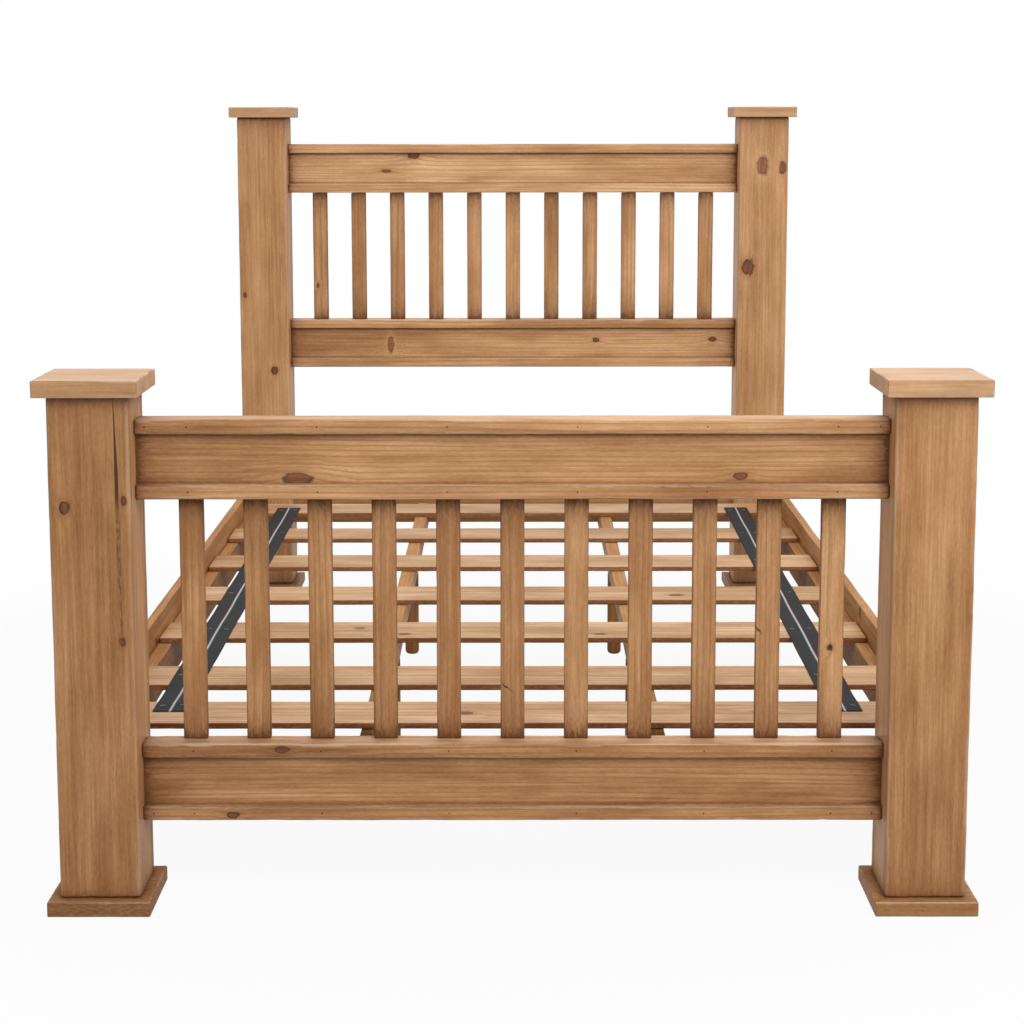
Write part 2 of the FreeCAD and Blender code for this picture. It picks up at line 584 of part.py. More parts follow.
# Screws: through the ledgers into the side rails, and two in each plate
screws = []
for side, across in side_shares:
    rail_mid = across * (size.rail_inner + size.rail_outer) / 2
    reach = size.rail_length / 2 - size.ledger_short - size.ledger_screw_end
    for k in range(LEDGER_SCREWS):
        y = reach * (2 * k / (LEDGER_SCREWS - 1) - 1)
        head = at(across * (size.rail_inner - size.ledger_wide), y, size.bearer_top - size.ledger_tall / 2)
        fastener(screws, bores, head, at(across, 0, 0), size.screw_long, size.screw_wide, size.screw_gap)
    for end, along in end_shares:
        for edge in (-1, 1):
            z = size.plate_mid + edge * (size.plate_tall - size.plate_end) / 2
            for way in (-1, 1):
                head = at(rail_mid, along * size.rail_length / 2, z)
                screw = Part.makeCylinder(size.screw_wide / 2, size.screw_long, head, at(0, way, 0))
                screws.append(screw)
            bores.append(Part.makeCylinder(
                (size.screw_wide + size.screw_gap) / 2, 2 * (size.screw_long + size.cut_over),
                head - at(0, size.screw_long + size.cut_over, 0), at(0, 1, 0)))

# Each piece that a fastener enters is bored for it
rooms = [(bore, bore.BoundBox) for bore in bores]
for name, piece in list(nodes.items()):
    shape = piece.Shape
    spaces = [solid.BoundBox for solid in shape.Solids]
    inside = [bore for bore, room in rooms if any(room.intersect(space) for space in spaces)]
    met = [bore for bore in inside if bore.common(shape).Volume > 0]
    if met:
        drill = doc.addObject("Part::Feature", name + "_bores")
        drill.Shape = Part.makeCompound(met)
        nodes[name] = cut(name + "_bored", piece, [drill])
for name, shapes in (("strap_staples", staples), ("board_nails", nails), ("frame_screws", screws)):
    nodes[name] = doc.addObject("Part::Feature", name + "_set")
    nodes[name].Shape = Part.makeCompound(shapes)
doc.recompute()

# Every object has to be sound before anything is written
failed = [piece.Name for piece in doc.Objects if {"Invalid", "Error"} & set(piece.State)]
for name, piece in nodes.items():
    piece.Label = name
    if piece.Shape.isNull() or not piece.Shape.isValid() or not piece.Shape.Solids:
        failed.append(name)
if failed:
    raise RuntimeError("unsound pieces: " + ", ".join(failed))

os.makedirs("parts", exist_ok=True)
for name, piece in nodes.items():
    piece.Shape.exportStep(f"parts/{name}.step")
print(len(nodes), "pieces written,", len(nails), "nails,", len(screws), "screws,", len(staples), "staples")
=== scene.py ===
"""Looks of the slatted pine bed frame: worn, stained boards, webbing straps and small steel fasteners.

The sections follow the bed as it is put together: posts, headboard and footboard, side rails, centre beams,
slats, straps and fasteners, and then the studio round it. Lengths are in metres.
"""

import math

import bpy
import numpy as np
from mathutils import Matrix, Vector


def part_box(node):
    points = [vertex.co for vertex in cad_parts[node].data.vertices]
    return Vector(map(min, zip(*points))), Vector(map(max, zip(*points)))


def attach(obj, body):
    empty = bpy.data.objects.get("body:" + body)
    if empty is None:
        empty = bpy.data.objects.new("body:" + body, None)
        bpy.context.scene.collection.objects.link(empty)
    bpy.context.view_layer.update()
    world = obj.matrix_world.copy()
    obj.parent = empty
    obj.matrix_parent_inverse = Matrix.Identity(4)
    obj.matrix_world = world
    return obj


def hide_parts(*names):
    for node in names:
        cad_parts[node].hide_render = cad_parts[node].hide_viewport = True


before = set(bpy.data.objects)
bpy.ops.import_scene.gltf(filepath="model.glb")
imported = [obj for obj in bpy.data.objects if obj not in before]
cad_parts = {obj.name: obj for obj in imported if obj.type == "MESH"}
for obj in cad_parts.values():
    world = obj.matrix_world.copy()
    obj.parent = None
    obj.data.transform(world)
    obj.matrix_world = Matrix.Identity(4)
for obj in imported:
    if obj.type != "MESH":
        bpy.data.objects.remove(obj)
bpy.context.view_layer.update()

# Posts: four hollow posts of planed pine boards, glued edge to face, stained honey brown and waxed. A wide
# board closes the outer side and the bed side, with two narrower boards between them. One slab caps each
# post and another is its foot, and the arrises are rubbed round by hand.


def drift(points, rng, reach):
    """Smooth unevenness from about -1 to 1 over the points, in waves about reach long."""
    waves, pace, crest = 7, 3.7, 3.4
    ways = rng.normal(size=(3, waves)) * (pace / reach)
    return np.sin(points @ ways + rng.uniform(0, 2 * math.pi, waves)).sum(axis=1) / crest


def side_lines(half, ease, step, fine):
    """Grid lines over one side of a board: close at the eased edges and at fine places, else even."""
    halfway_round, least_apart = 0.414, 0.0008
    rim = half - ease
    flat = rim - min(0.003, rim * 0.35)
    middle = np.linspace(-flat, flat, max(2, round(2 * flat / step) + 1))
    edge = np.array([rim, rim + halfway_round * ease, half])
    lines = np.concatenate([-edge[::-1], middle, edge])
    for place in fine:
        if abs(place) < flat and np.abs(lines - place).min() > least_apart:
            lines = np.append(lines, place)
    return np.sort(lines)


# Each board reads its grain this far along the tree from the one before, so that no two are alike
WOOD_APART = 2.9
# A board has up to three knots and one crack. The last two stand for none: a mark far off the wood
KNOT_NAMES = ("knot_a", "knot_b", "knot_c")
NO_KNOT = (-99, 9, 1, 0.001)
NO_CRACK = (-99, 9, 0.001, 0)


def worn_board(low, high, grain, ease, number, pith, face=None, inner=None, wear=1.0, rub=1.0, fine=None,
               glaze_and_shade=None, knots=(), crack=None, tone=0.0, step=0.012, dents=5):
    """One board as arrays: a rounded box with uneven arrises and dents, and what its finish reads.

    grain is the axis along the wood's fibres, face the axis through the board, which is the thin one if not
    given, and the last one is across it. pith is where the tree's heart lay, across and through. inner is
    the axis, side and rounding of the arrises that are glued and so stay sharp, and rub is how pale the
    others are worn. knots hold a place along and across the board, a radius, which is below zero where a
    large knot is dead, and how far they are drawn out along the grain. crack holds a place along and across,
    a half length and how far it leans over that length.
    """
    rng = np.random.default_rng(number)
    low, high = np.array(low), np.array(high)
    middle, half = (low + high) / 2, (high - low) / 2
    along = "xyz".index(grain)
    across, through = sorted((k for k in range(3) if k != along), key=lambda k: ("xyz"[k] == face, -half[k]))
    fine = fine or {}
    lines = [side_lines(half[k], ease, step, np.array(fine.get("xyz"[k], ())) - middle[k]) for k in range(3)]
    corners, quads, start = [], [], 0
    for k in range(3):
        i, j = (k + 1) % 3, (k + 2) % 3
        u, v = np.meshgrid(lines[i], lines[j], indexing="ij")
        cells = np.arange(u.size).reshape(u.shape)
        ring = [cells[:-1, :-1], cells[1:, :-1], cells[1:, 1:], cells[:-1, 1:]]
        for side in (-1, 1):
            sheet = np.zeros((u.size, 3))
            sheet[:, i], sheet[:, j], sheet[:, k] = u.ravel(), v.ravel(), side * half[k]
            corners.append(sheet)
            quads.append(np.stack([corner.ravel() for corner in ring[::side]], axis=1) + start)
            start += u.size
    points, index = np.unique(np.round(np.concatenate(corners), 7), axis=0, return_inverse=True)
    quads = index.reshape(-1)[np.concatenate(quads)]

    # The arrises are rounded more in some places than in others, and knocked in a few
    uneven = drift(points, rng, 0.16) * 0.35 + drift(points, rng, 0.045) * 0.22
    radius = ease * np.clip(1 + wear * uneven, 0.45, 1.9)
    if inner:
        axis, side, sharp = inner
        radius = np.where(points[:, "xyz".index(axis)] * side > 0, sharp, radius)
    radius = np.minimum(radius, half.min() * 0.8)[:, None]
    core = np.clip(points, radius - half, half - radius)
    out = points - core
    normal = out / np.maximum(np.linalg.norm(out, axis=1, keepdims=True), 1e-9)
    rounded = np.abs(normal).max(axis=1) < 0.995
    shaped = core + normal * radius
    shaped -= normal * (0.0001 * np.clip(1 + drift(points, rng, 0.1), 0, 2))[:, None]
    for spot in rng.choice(np.flatnonzero(rounded), dents):
        size, depth = rng.uniform(0.004, 0.011), rng.uniform(0.0003, 0.0009) * wear
        gone = np.exp(-((shaped - shaped[spot]) ** 2).sum(axis=1) / size ** 2)
        shaped -= normal * (gone * depth)[:, None]

    shift = WOOD_APART * number
    fibre = np.stack([points[:, along] + shift, points[:, across] - pith[0],
                      points[:, through] - pith[1]], axis=1)
    marks = [(place - middle[along] + shift, off - middle[across] - pith[0], long, size)
             for place, off, size, long in knots]
    split = NO_CRACK
    if crack:
        split = (crack[0] - middle[along] + shift, crack[1] - middle[across] - pith[0], crack[2], crack[3])
    world = points + middle
    return {"points": shaped + middle, "quads": quads, "grain": fibre, "worn": rounded * rub,
            "glaze_and_shade": np.zeros(len(points)) if glaze_and_shade is None else glaze_and_shade(world),
            "tone": np.full(len(points), tone), "knots": marks, "crack": split}


def store(mesh, name, kind, values):
    """An attribute of the mesh's points."""
    layer = mesh.attributes.new(name, kind, "POINT")
    key = {"FLOAT": "value", "FLOAT_VECTOR": "vector", "FLOAT_COLOR": "color"}[kind]
    layer.data.foreach_set(key, np.ascontiguousarray(values, dtype=np.float32).ravel())


def board_mesh(name, boards, marked=True):
    """One mesh of several boards, with their grain, wear, glaze and painted shade, tone and marks as
    attributes.
    """
    starts = np.cumsum([0] + [len(board["points"]) for board in boards])
    counts = np.diff(starts)
    mesh = bpy.data.meshes.new(name)
    quads = np.concatenate([board["quads"] + start for board, start in zip(boards, starts)])
    mesh.from_pydata(np.concatenate([board["points"] for board in boards]).tolist(), [], quads.tolist())
    mesh.shade_smooth()
    store(mesh, "grain", "FLOAT_VECTOR", np.concatenate([board["grain"] for board in boards]))
    store(mesh, "worn", "FLOAT", np.concatenate([board["worn"] for board in boards]))
    store(mesh, "glaze_and_shade", "FLOAT", np.concatenate([board["glaze_and_shade"] for board in boards]))
    if marked:
        store(mesh, "tone", "FLOAT", np.concatenate([board["tone"] for board in boards]))
        store(mesh, "crack", "FLOAT_COLOR", np.repeat([board["crack"] for board in boards], counts, axis=0))
        for k, knot in enumerate(KNOT_NAMES):
            rows = [board["knots"][k] if k < len(board["knots"]) else NO_KNOT for board in boards]
            store(mesh, knot, "FLOAT_COLOR", np.repeat(rows, counts, axis=0))
    return mesh


def fitted(name, mesh, finish, nodes, body="frame"):
    """A finished piece in its place: it wears its finish, rides on its body and stands for its nodes."""
    piece = bpy.data.objects.new(name, mesh)
    bpy.context.scene.collection.objects.link(piece)
    if finish:
        mesh.materials.append(finish)
    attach(piece, body)
    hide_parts(*nodes)
    return piece


def pine(name, pale, dark, darkening, rubbed, glaze_and_shade, figure, vary, ring, gloss):
    """Stained pine: growth rings cut by the board's faces, fibres, blotches, knots, cracks, glaze and painted
    shade.

    figure is how strongly the rings show, vary how much a board's colour drifts, ring how far apart the rings
    are and gloss how much the wax shines.
    """
    material = bpy.data.materials.new(name)
    material.use_nodes = True
    tree = material.node_tree
    shader = tree.nodes["Principled BSDF"]

    def wire(kind, *values, **settings):
        made = tree.nodes.new("ShaderNode" + kind)
        for key, value in settings.items():
            setattr(made, key, value)
        for socket, value in zip(made.inputs, values):
            if isinstance(value, bpy.types.NodeSocket):
                tree.links.new(value, socket)
            elif value is not None:
                socket.default_value = value
        return made

    def calc(operation, *values):
        return wire("Math", *values, operation=operation).outputs[0]

    def scaled(vector, by):
        """Each part of the vector times its own part of the other."""
        return wire("VectorMath", vector, by, operation="MULTIPLY").outputs[0]

    def length(vector):
        return wire("VectorMath", vector, operation="LENGTH").outputs["Value"]

    def noise(by, detail):
        return wire("TexNoise", scaled(grain, by), None, 1.0, detail, 0.55).outputs[0]

    def fade(value, start, end, first=0.0, last=1.0):
        made = wire("MapRange", value, start, end, first, last, interpolation_type="SMOOTHSTEP")
        return made.outputs[0]

    def mix(factor, first, second, mode="MIX"):
        made = tree.nodes.new("ShaderNodeMix")
        made.data_type, made.blend_type = "RGBA", mode
        for place, value in ((0, factor), (6, first), (7, second)):
            if isinstance(value, bpy.types.NodeSocket):
                tree.links.new(value, made.inputs[place])
            else:
                made.inputs[place].default_value = value
        return made.outputs[2]

    def painted(attribute):
        return wire("Attribute", attribute_name=attribute)

    def strong(value):
        return fade(value, 0.3, 0.7)

    grain = painted("grain").outputs["Vector"]
    here = wire("SeparateXYZ", grain).outputs
    sway = noise((0.8, 5, 5), 1)
    small = noise((4, 50, 50), 2)
    lumps = noise((70, 90, 90), 2)
    uneven = noise((0.3, 24, 24), 2)
    fibre = strong(noise((10, 280, 280), 2))
    streak = strong(noise((2.6, 110, 110), 3))
    patch = strong(noise((5, 17, 17), 3))
    smudge = fade(noise((7, 34, 34), 3), 0.47, 0.72)
    blush = fade(noise((1.6, 45, 45), 2), 0.5, 0.72)
    cloud = strong(noise((1.3, 5, 5), 2))
    pits = fade(noise((90, 260, 260), 2), 0.42, 0.6)

    # Knots: a brown heart with a dark rim and a faint halo, and rings that flow round them. Large ones whose
    # size is above zero grew in live: they are redder, with a fainter rim and a pale halo
    ripple = calc("MULTIPLY_ADD", small, 0.004, -0.002)
    ripple = calc("ADD", calc("MULTIPLY_ADD", sway, 0.024, -0.012), ripple)
    ripple = calc("MULTIPLY_ADD", uneven, 0.02, ripple)
    heart, rim, halo, live = 0.0, 0.0, 0.0, 0.0
    for knot in KNOT_NAMES:
        mark = painted(knot)
        size = calc("ABSOLUTE", mark.outputs["Alpha"])
        place = wire("SeparateXYZ", mark.outputs["Vector"]).outputs
        along = calc("DIVIDE", calc("SUBTRACT", here[0], place[0]), place[2])
        away = wire("CombineXYZ", along, calc("SUBTRACT", here[1], place[1]), 0.0).outputs[0]
        reach = calc("MULTIPLY", calc("DIVIDE", length(away), size), calc("MULTIPLY_ADD", lumps, 0.8, 0.6))
        ripple = calc("MULTIPLY_ADD", fade(reach, 0.5, 5, 1, 0), size, ripple)
        heart = calc("MAXIMUM", fade(reach, 0.88, 1.06, 1, 0), heart)
        rim = calc("MAXIMUM", calc("MULTIPLY", fade(reach, 0.68, 0.98), fade(reach, 1.02, 1.28, 1, 0)), rim)
        halo = calc("MAXIMUM", fade(reach, 0.9, 2.6, 1, 0), halo)
        grown_in = calc("MULTIPLY", fade(reach, 2.4, 2.8, 1, 0), fade(mark.outputs["Alpha"], 0.009, 0.012))
        live = calc("MAXIMUM", grown_in, live)

    # Growth rings: pale wood darkens slowly to a narrow dark line, then starts again
    radial = calc("ADD", length(scaled(grain, (0, 1, 1))), ripple)
    band = calc("FRACT", calc("DIVIDE", radial, ring))
    late = calc("MULTIPLY", fade(band, 0.45, 0.92), fade(band, 0.94, 1.0, 1, 0))
    showing = calc("MULTIPLY", calc("MULTIPLY_ADD", streak, 0.3, 0.35), calc("MULTIPLY_ADD", patch, 0.5, 0.5))
    showing = calc("MAXIMUM", calc("MULTIPLY", showing, figure), calc("MULTIPLY", halo, 0.6))
    colour = mix(calc("MULTIPLY", late, showing), pale, dark)
    shade = calc("MULTIPLY_ADD", painted("tone").outputs["Fac"], 0.25, 1.0)
    drifts = ((fibre, 0.14), (streak, 0.20), (patch, 0.22 * vary), (cloud, 0.22 * vary), (pits, 0.07))
    for spots, share in drifts:
        shade = calc("ADD", shade, calc("MULTIPLY_ADD", spots, share, -share / 2))
    tint = wire("CombineXYZ", shade, calc("POWER", shade, 1.3), calc("POWER", shade, 1.75)).outputs[0]
    colour = scaled(colour, tint)
    flushed = scaled(tint, (0.44, 0.185, 0.06))
    colour = mix(calc("MULTIPLY", blush, 0.35), colour, flushed)
    colour = mix(calc("MULTIPLY", smudge, 0.32), colour, darkening)

    # Rubbed arrises are paler, and dark glaze has stayed in pores and round the joints. The same dark colour
    # paints shade in corners, in recesses and on parts under the bed. The knots show through it
    edge = painted("worn").outputs["Fac"]
    bare = fade(small, 0.38, 0.58)
    colour = mix(calc("MULTIPLY", edge, calc("MULTIPLY_ADD", bare, 0.26, 0.22)), colour, rubbed)
    grime = calc("MULTIPLY", fade(edge, 0.85, 1.0), calc("SUBTRACT", 1, bare))
    colour = mix(calc("MULTIPLY", grime, 0.45), colour, glaze_and_shade)
    glaze_and_shade_amount = calc("MULTIPLY", painted("glaze_and_shade").outputs["Fac"], calc("MULTIPLY_ADD", streak, 0.4, 0.7))
    glaze_and_shade_amount = calc("ADD", glaze_and_shade_amount, calc("MULTIPLY", calc("SUBTRACT", 1, pits), calc("MULTIPLY", glaze_and_shade_amount, 0.3)))
    glaze_and_shade_amount = calc("MINIMUM", glaze_and_shade_amount, 0.93)
    colour = mix(glaze_and_shade_amount, colour, glaze_and_shade)
    halo_colour = mix(live, (0.24, 0.095, 0.032, 1), (0.62, 0.37, 0.16, 1))
    colour = mix(calc("MULTIPLY", halo, calc("MULTIPLY_ADD", live, 0.15, 0.35)), colour, halo_colour)
    dead_heart = mix(fibre, (0.095, 0.030, 0.010, 1), (0.19, 0.068, 0.023, 1))
    live_heart = mix(fibre, (0.19, 0.060, 0.027, 1), (0.33, 0.120, 0.056, 1))
    colour = mix(calc("MULTIPLY", heart, 0.92), colour, mix(live, dead_heart, live_heart))
    rim = calc("MULTIPLY", rim, calc("MULTIPLY_ADD", streak, 0.4, 0.6))
    rim = calc("MULTIPLY", rim, calc("MULTIPLY_ADD", live, -0.5, 1))
    bark = (0.032, 0.010, 0.004, 1)
    colour = mix(calc("MULTIPLY", rim, 0.9), colour, bark)

    # Worm holes and nicks, and a drying crack, open above and only a row of pits below, where a board has one
    cells = wire("TexVoronoi", scaled(grain, (30, 45, 45)))
    chosen = wire("SeparateColor", cells.outputs["Color"]).outputs[0]
    hole = fade(cells.outputs["Distance"], 0.04, 0.075, 1, 0)
    nick = calc("MULTIPLY", hole, calc("GREATER_THAN", chosen, 0.5))
    split = painted("crack")
    place = wire("SeparateXYZ", split.outputs["Vector"]).outputs
    run = calc("DIVIDE", calc("SUBTRACT", here[0], place[0]), place[2])
    gape = calc("MAXIMUM", calc("SUBTRACT", 1, calc("MULTIPLY", run, run)), 0.0001)
    wander = calc("MULTIPLY_ADD", small, 0.008, -0.004)
    lean = calc("MULTIPLY_ADD", run, split.outputs["Alpha"], wander)
    aside = calc("ADD", calc("SUBTRACT", here[1], place[1]), lean)
    gap = fade(calc("DIVIDE", calc("ABSOLUTE", aside), gape), 0.0019, 0.0037, 1, 0)
    pitted = calc("MULTIPLY_ADD", pits, -0.5, 0.5)
    gap = calc("MULTIPLY", gap, calc("MAXIMUM", fade(run, -0.1, 0.2), pitted))
    flaw = calc("MAXIMUM", nick, gap)
    hollow = (0.035, 0.014, 0.007, 1)
    colour = mix(calc("MULTIPLY", flaw, 0.92), colour, hollow)
    tree.links.new(colour, shader.inputs["Base Color"])

    rough = calc("ADD", calc("MULTIPLY_ADD", fibre, 0.14, 0.44), calc("MULTIPLY", glaze_and_shade_amount, 0.3))
    tree.links.new(rough, shader.inputs["Roughness"])
    shader.inputs["Specular IOR Level"].default_value = gloss
    relief = calc("ADD", calc("MULTIPLY", fibre, 0.5), calc("MULTIPLY", late, 0.25))
    relief = calc("SUBTRACT", relief, calc("ADD", calc("MULTIPLY", flaw, 2.0), calc("MULTIPLY", rim, 0.6)))
    bump = tree.nodes.new("ShaderNodeBump")
    bump.inputs["Strength"].default_value = 0.4
    bump.inputs["Distance"].default_value = 0.0006
    tree.links.new(relief, bump.inputs["Height"])
    tree.links.new(bump.outputs[0], shader.inputs["Normal"])
    return material


def near(points, axis, plane, reach, strength):
    """Glaze and painted shade that fade with the distance from a plane where another piece meets the board.
    """
    return strength * np.exp(-np.abs(points[:, "xyz".index(axis)] - plane) / reach)


def joint_glaze_and_shade(points, axis, planes, line, haze):
    """Glaze and painted shade at the planes of joints: a line close by and a wider haze, each with a reach
    and strength.
    """
    return sum(near(points, axis, plane, *line) + near(points, axis, plane, *haze) for plane in planes)


def corner_lines(*planes):
    """Places for close grid lines beside the planes where glaze and painted shade gather."""
    beside = (-0.04, -0.02, -0.01, -0.005, 0, 0.005, 0.01, 0.02, 0.04)
    return [plane + off for plane in planes for off in beside]


# The rubbed colour is pale and greyish, as it also paints the sheen on the caps' tops
post_pine = pine("post_pine", pale=(0.485, 0.256, 0.112, 1), dark=(0.25, 0.102, 0.036, 1),
                 darkening=(0.30, 0.125, 0.046, 1), rubbed=(0.60, 0.49, 0.37, 1), glaze_and_shade=(0.12, 0.042, 0.012, 1),
                 figure=0.35, vary=1.0, ring=0.0085, gloss=0.27)
POST_HALF = (0.071, 0.0615)
POST_THICK = 0.02
# Post tones are partly each post's own colour and partly painted light: the head posts are lighter than the
# foot ones, and the right posts lighter than the left.
POST_TONES = {"foot_left": -1.05, "foot_right": -0.75, "head_left": -0.3, "head_right": 0.4}
# How much darker each plinth is than its post, the left foot one most
PLINTH_DARKENING = {"foot_left": 0.56, "foot_right": 0.28, "head_left": 0.28, "head_right": 0.28}
POST_CRACKS = {"foot_left_outer": (0.715, -0.6825, 0.225, 0.003)}
POST_KNOTS = {
    "foot_left_outer": [(0.731, -0.773, 0.0076, 1.4), (0.493, -0.679, 0.005, 1.6),
                        (0.743, -0.671, 0.0042, 2.0)],
    "head_left_bed_side": [(0.6695, -0.7026, 0.0088, 1.3), (0.8936, -0.786, 0.005, 1.4)],
    "head_right_bed_side": [(1.2706, 0.7253, 0.0165, 1.6), (1.264, 0.7856, 0.0105, 1.5),
                            (0.974, 0.688, -0.0165, 1.2)],
}


def post_glaze_and_shade(ends):
    """Glaze and painted shade at both ends of a post's board, against its cap and its plinth."""
    return lambda points: joint_glaze_and_shade(points, "z", ends, (0.005, 0.6), (0.03, 0.28))


def seat_darkening(middle, seam, darkening):
    """Darkening of a cap or plinth: an even share, and round the post a dark line of painted shade on the
    face that meets it.
    """
    def laid_on(points):
        beside = [np.maximum(np.abs(points[:, k] - middle[k]) - POST_HALF[k], 0) for k in range(2)]
        line = 0.6 * darkening + 0.5 * np.exp(-np.hypot(*beside) / 0.008)
        return np.where(np.abs(points[:, 2] - seam) < 0.001, line, darkening)
    return laid_on


number = 0
for end in ("foot", "head"):
    for side in ("left", "right"):
        post = f"{end}_{side}"
        tone = POST_TONES[post]
        for face in ("outer", "bed_side"):
            number += 1
            node = f"{post}_post_{face}_board"
            low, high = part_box(node)
            turned = 1 if (end == "head") == (face == "outer") else -1
            ends = (low.z, high.z)
            wide = worn_board(
                low, high, "z", 0.0045, number, (0.1 * (-1) ** number, -0.06 * turned),
                inner=("y", -turned, 0.0008), fine={"z": corner_lines(*ends)}, glaze_and_shade=post_glaze_and_shade(ends),
                knots=POST_KNOTS.get(f"{post}_{face}", ()), crack=POST_CRACKS.get(f"{post}_{face}"),
                tone=tone, rub=0.45)
            fitted(f"{node}_worn", board_mesh(node, [wide]), post_pine, [node])
        node = f"{post}_post_side_boards"
        low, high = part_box(node)
        # The side boards are lightened beyond the post's tone, the right post's more: painted light on sides
        # the lamps reach less.
        paler = 0.6 if side == "left" else 0.9
        narrow = []
        for left in (low.x, high.x - POST_THICK):
            number += 1
            narrow.append(worn_board(
                (left, low.y, low.z), (left + POST_THICK, high.y, high.z), "z", 0.0008, number, (0.06, 0.05),
                fine={"z": corner_lines(*ends)}, glaze_and_shade=post_glaze_and_shade(ends),
                tone=tone + paler, wear=0.4, dents=2))
        fitted(f"{node}_worn", board_mesh(node, narrow), post_pine, [node])
        for slab in ("cap", "plinth"):
            number += 1
            node = f"{post}_{slab}"
            low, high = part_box(node)
            middle = (low + high) / 2
            darkening = 0.0 if slab == "cap" else PLINTH_DARKENING[post]
            seam = low.z if slab == "cap" else high.z
            block = worn_board(
                low, high, "x", 0.0024, number, (0.03, -0.08), tone=tone * 0.3 - darkening, wear=0.5, step=0.009,
                fine={axis: corner_lines(middle[k] - POST_HALF[k], middle[k] + POST_HALF[k])
                      for k, axis in enumerate("xy")},
                glaze_and_shade=seat_darkening(middle, seam, darkening))
            # The cap's top face is much paler and the rest of it a little: rubbed wood with painted sheen
            if slab == "cap":
                sheen_and_wear = np.where(block["points"][:, 2] > high.z - 0.001, 0.85, 0.38)
                block["worn"] = np.maximum(block["worn"], sheen_and_wear)
            fitted(f"{node}_worn", board_mesh(node, [block]), post_pine, [node])

# Headboard and footboard rails: a recessed web board between two thicker flanges, all tenoned or butted into
# the posts. Glaze has stayed at the posts, and painted shade darkens the recess under the top flange and the
# creases along the flanges. The flanges' arrises are the most rubbed, and the top flanges' upper faces are
# paler with painted sheen, which the pale rubbed colour also paints.
panel_pine = pine("panel_pine", pale=(0.49, 0.258, 0.112, 1), dark=(0.26, 0.108, 0.036, 1),
                  darkening=(0.30, 0.125, 0.044, 1), rubbed=(0.60, 0.46, 0.33, 1), glaze_and_shade=(0.12, 0.042, 0.012, 1),
                  figure=1.1, vary=1.5, ring=0.0085, gloss=0.3)
# Rail tones paint light: the upper rails are lighter than the lower ones, and the headboard's lighter than
# the footboard's
RAIL_TONES = {"footboard_lower": -0.75, "footboard_upper": -0.1,
              "headboard_lower": 0.4, "headboard_upper": 1.1}
RAIL_KNOTS = {
    "footboard_upper_web": [(-0.376, 0.7718, 0.0102, 2.3), (0.399, 0.776, 0.0055, 2.2)],
    "footboard_lower_top_flange": [(-0.409, 0.2855, 0.0058, 2.0)],
    "footboard_lower_bottom_flange": [(-0.4985, 0.165, 0.005, 2.0)],
    "headboard_lower_web": [(-0.363, 0.7404, 0.023, 0.42), (0.247, 0.754, 0.006, 1.4),
                            (0.592, 0.756, 0.007, 1.4)],
    "headboard_upper_web": [(-0.372, 1.254, 0.004, 3.0), (-0.291, 1.300, 0.0085, 1.9)],
}
post_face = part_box("footboard_lower_top_flange")[1].x
post_faces = (-post_face, post_face)
post_at = sum(corner.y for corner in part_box("head_left_cap")) / 2
for end in ("footboard", "headboard"):
    for level in ("lower", "upper"):
        rail = f"{end}_{level}"
        web_low, web_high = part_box(f"{rail}_web")
        bottom_low, bottom_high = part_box(f"{rail}_bottom_flange")
        top_low, top_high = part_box(f"{rail}_top_flange")
        ledges = (bottom_high.z, top_low.z)
        tone = RAIL_TONES[rail]

        number += 1
        node = f"{rail}_web"
        # The web darkens under the top flange and in the crease above the bottom flange as painted shade, and
        # at the posts with glaze
        web = worn_board(
            web_low, web_high, "x", 0.0015, number, (0.11, 0.06), tone=tone, dents=0, step=0.014,
            knots=RAIL_KNOTS.get(node, ()),
            fine={"x": corner_lines(*post_faces), "z": corner_lines(*ledges)},
            glaze_and_shade=lambda p, ledges=ledges: (
                near(p, "z", ledges[0], 0.002, 0.5) + near(p, "z", ledges[1], 0.0025, 0.8)
                + near(p, "z", ledges[1], 0.016, 0.15)
                + joint_glaze_and_shade(p, "x", post_faces, (0.008, 0.75), (0.045, 0.4))))
        fitted(f"{node}_worn", board_mesh(node, [web]), panel_pine, [node])

        for flange, low, high in (("bottom", bottom_low, bottom_high), ("top", top_low, top_high)):
            number += 1
            node = f"{rail}_{flange}_flange"
            ledge = high.z if flange == "bottom" else low.z
            # Glaze at the posts, and painted shade on the flange where it meets the web
            strip = worn_board(
                low, high, "x", 0.0035, number, (-0.08, 0.05), face="y", tone=tone + 0.05, dents=14, wear=0.7,
                step=0.01, knots=RAIL_KNOTS.get(node, ()), fine={"x": corner_lines(*post_faces)},
                glaze_and_shade=lambda p, ledge=ledge: (
                    joint_glaze_and_shade(p, "x", post_faces, (0.006, 0.7), (0.03, 0.4))
                    + near(p, "z", ledge, 0.004, 0.35)))
            # The top flange's upper face is paler: rubbing and painted sheen
            if flange == "top":
                strip["worn"] = np.maximum(strip["worn"], 0.55 * (strip["points"][:, 2] > high.z - 0.001))
            fitted(f"{node}_worn", board_mesh(node, [strip]), panel_pine, [node])

# Spindles: eleven flat pine laths between the rails of each end, tenoned into the flanges. All of one end are
# cut alike, so one lath is copied along the rail, and each copy has a length of wood of its own.
copies = bpy.data.node_groups.new("placed_copies", "GeometryNodeTree")
for label, kind in (("Places", "Geometry"), ("Pattern", "Object"), ("Wear", "Float"), ("Finish", "Material")):
    copies.interface.new_socket(label, in_out="INPUT", socket_type="NodeSocket" + kind)
copies.interface.new_socket("Copies", in_out="OUTPUT", socket_type="NodeSocketGeometry")


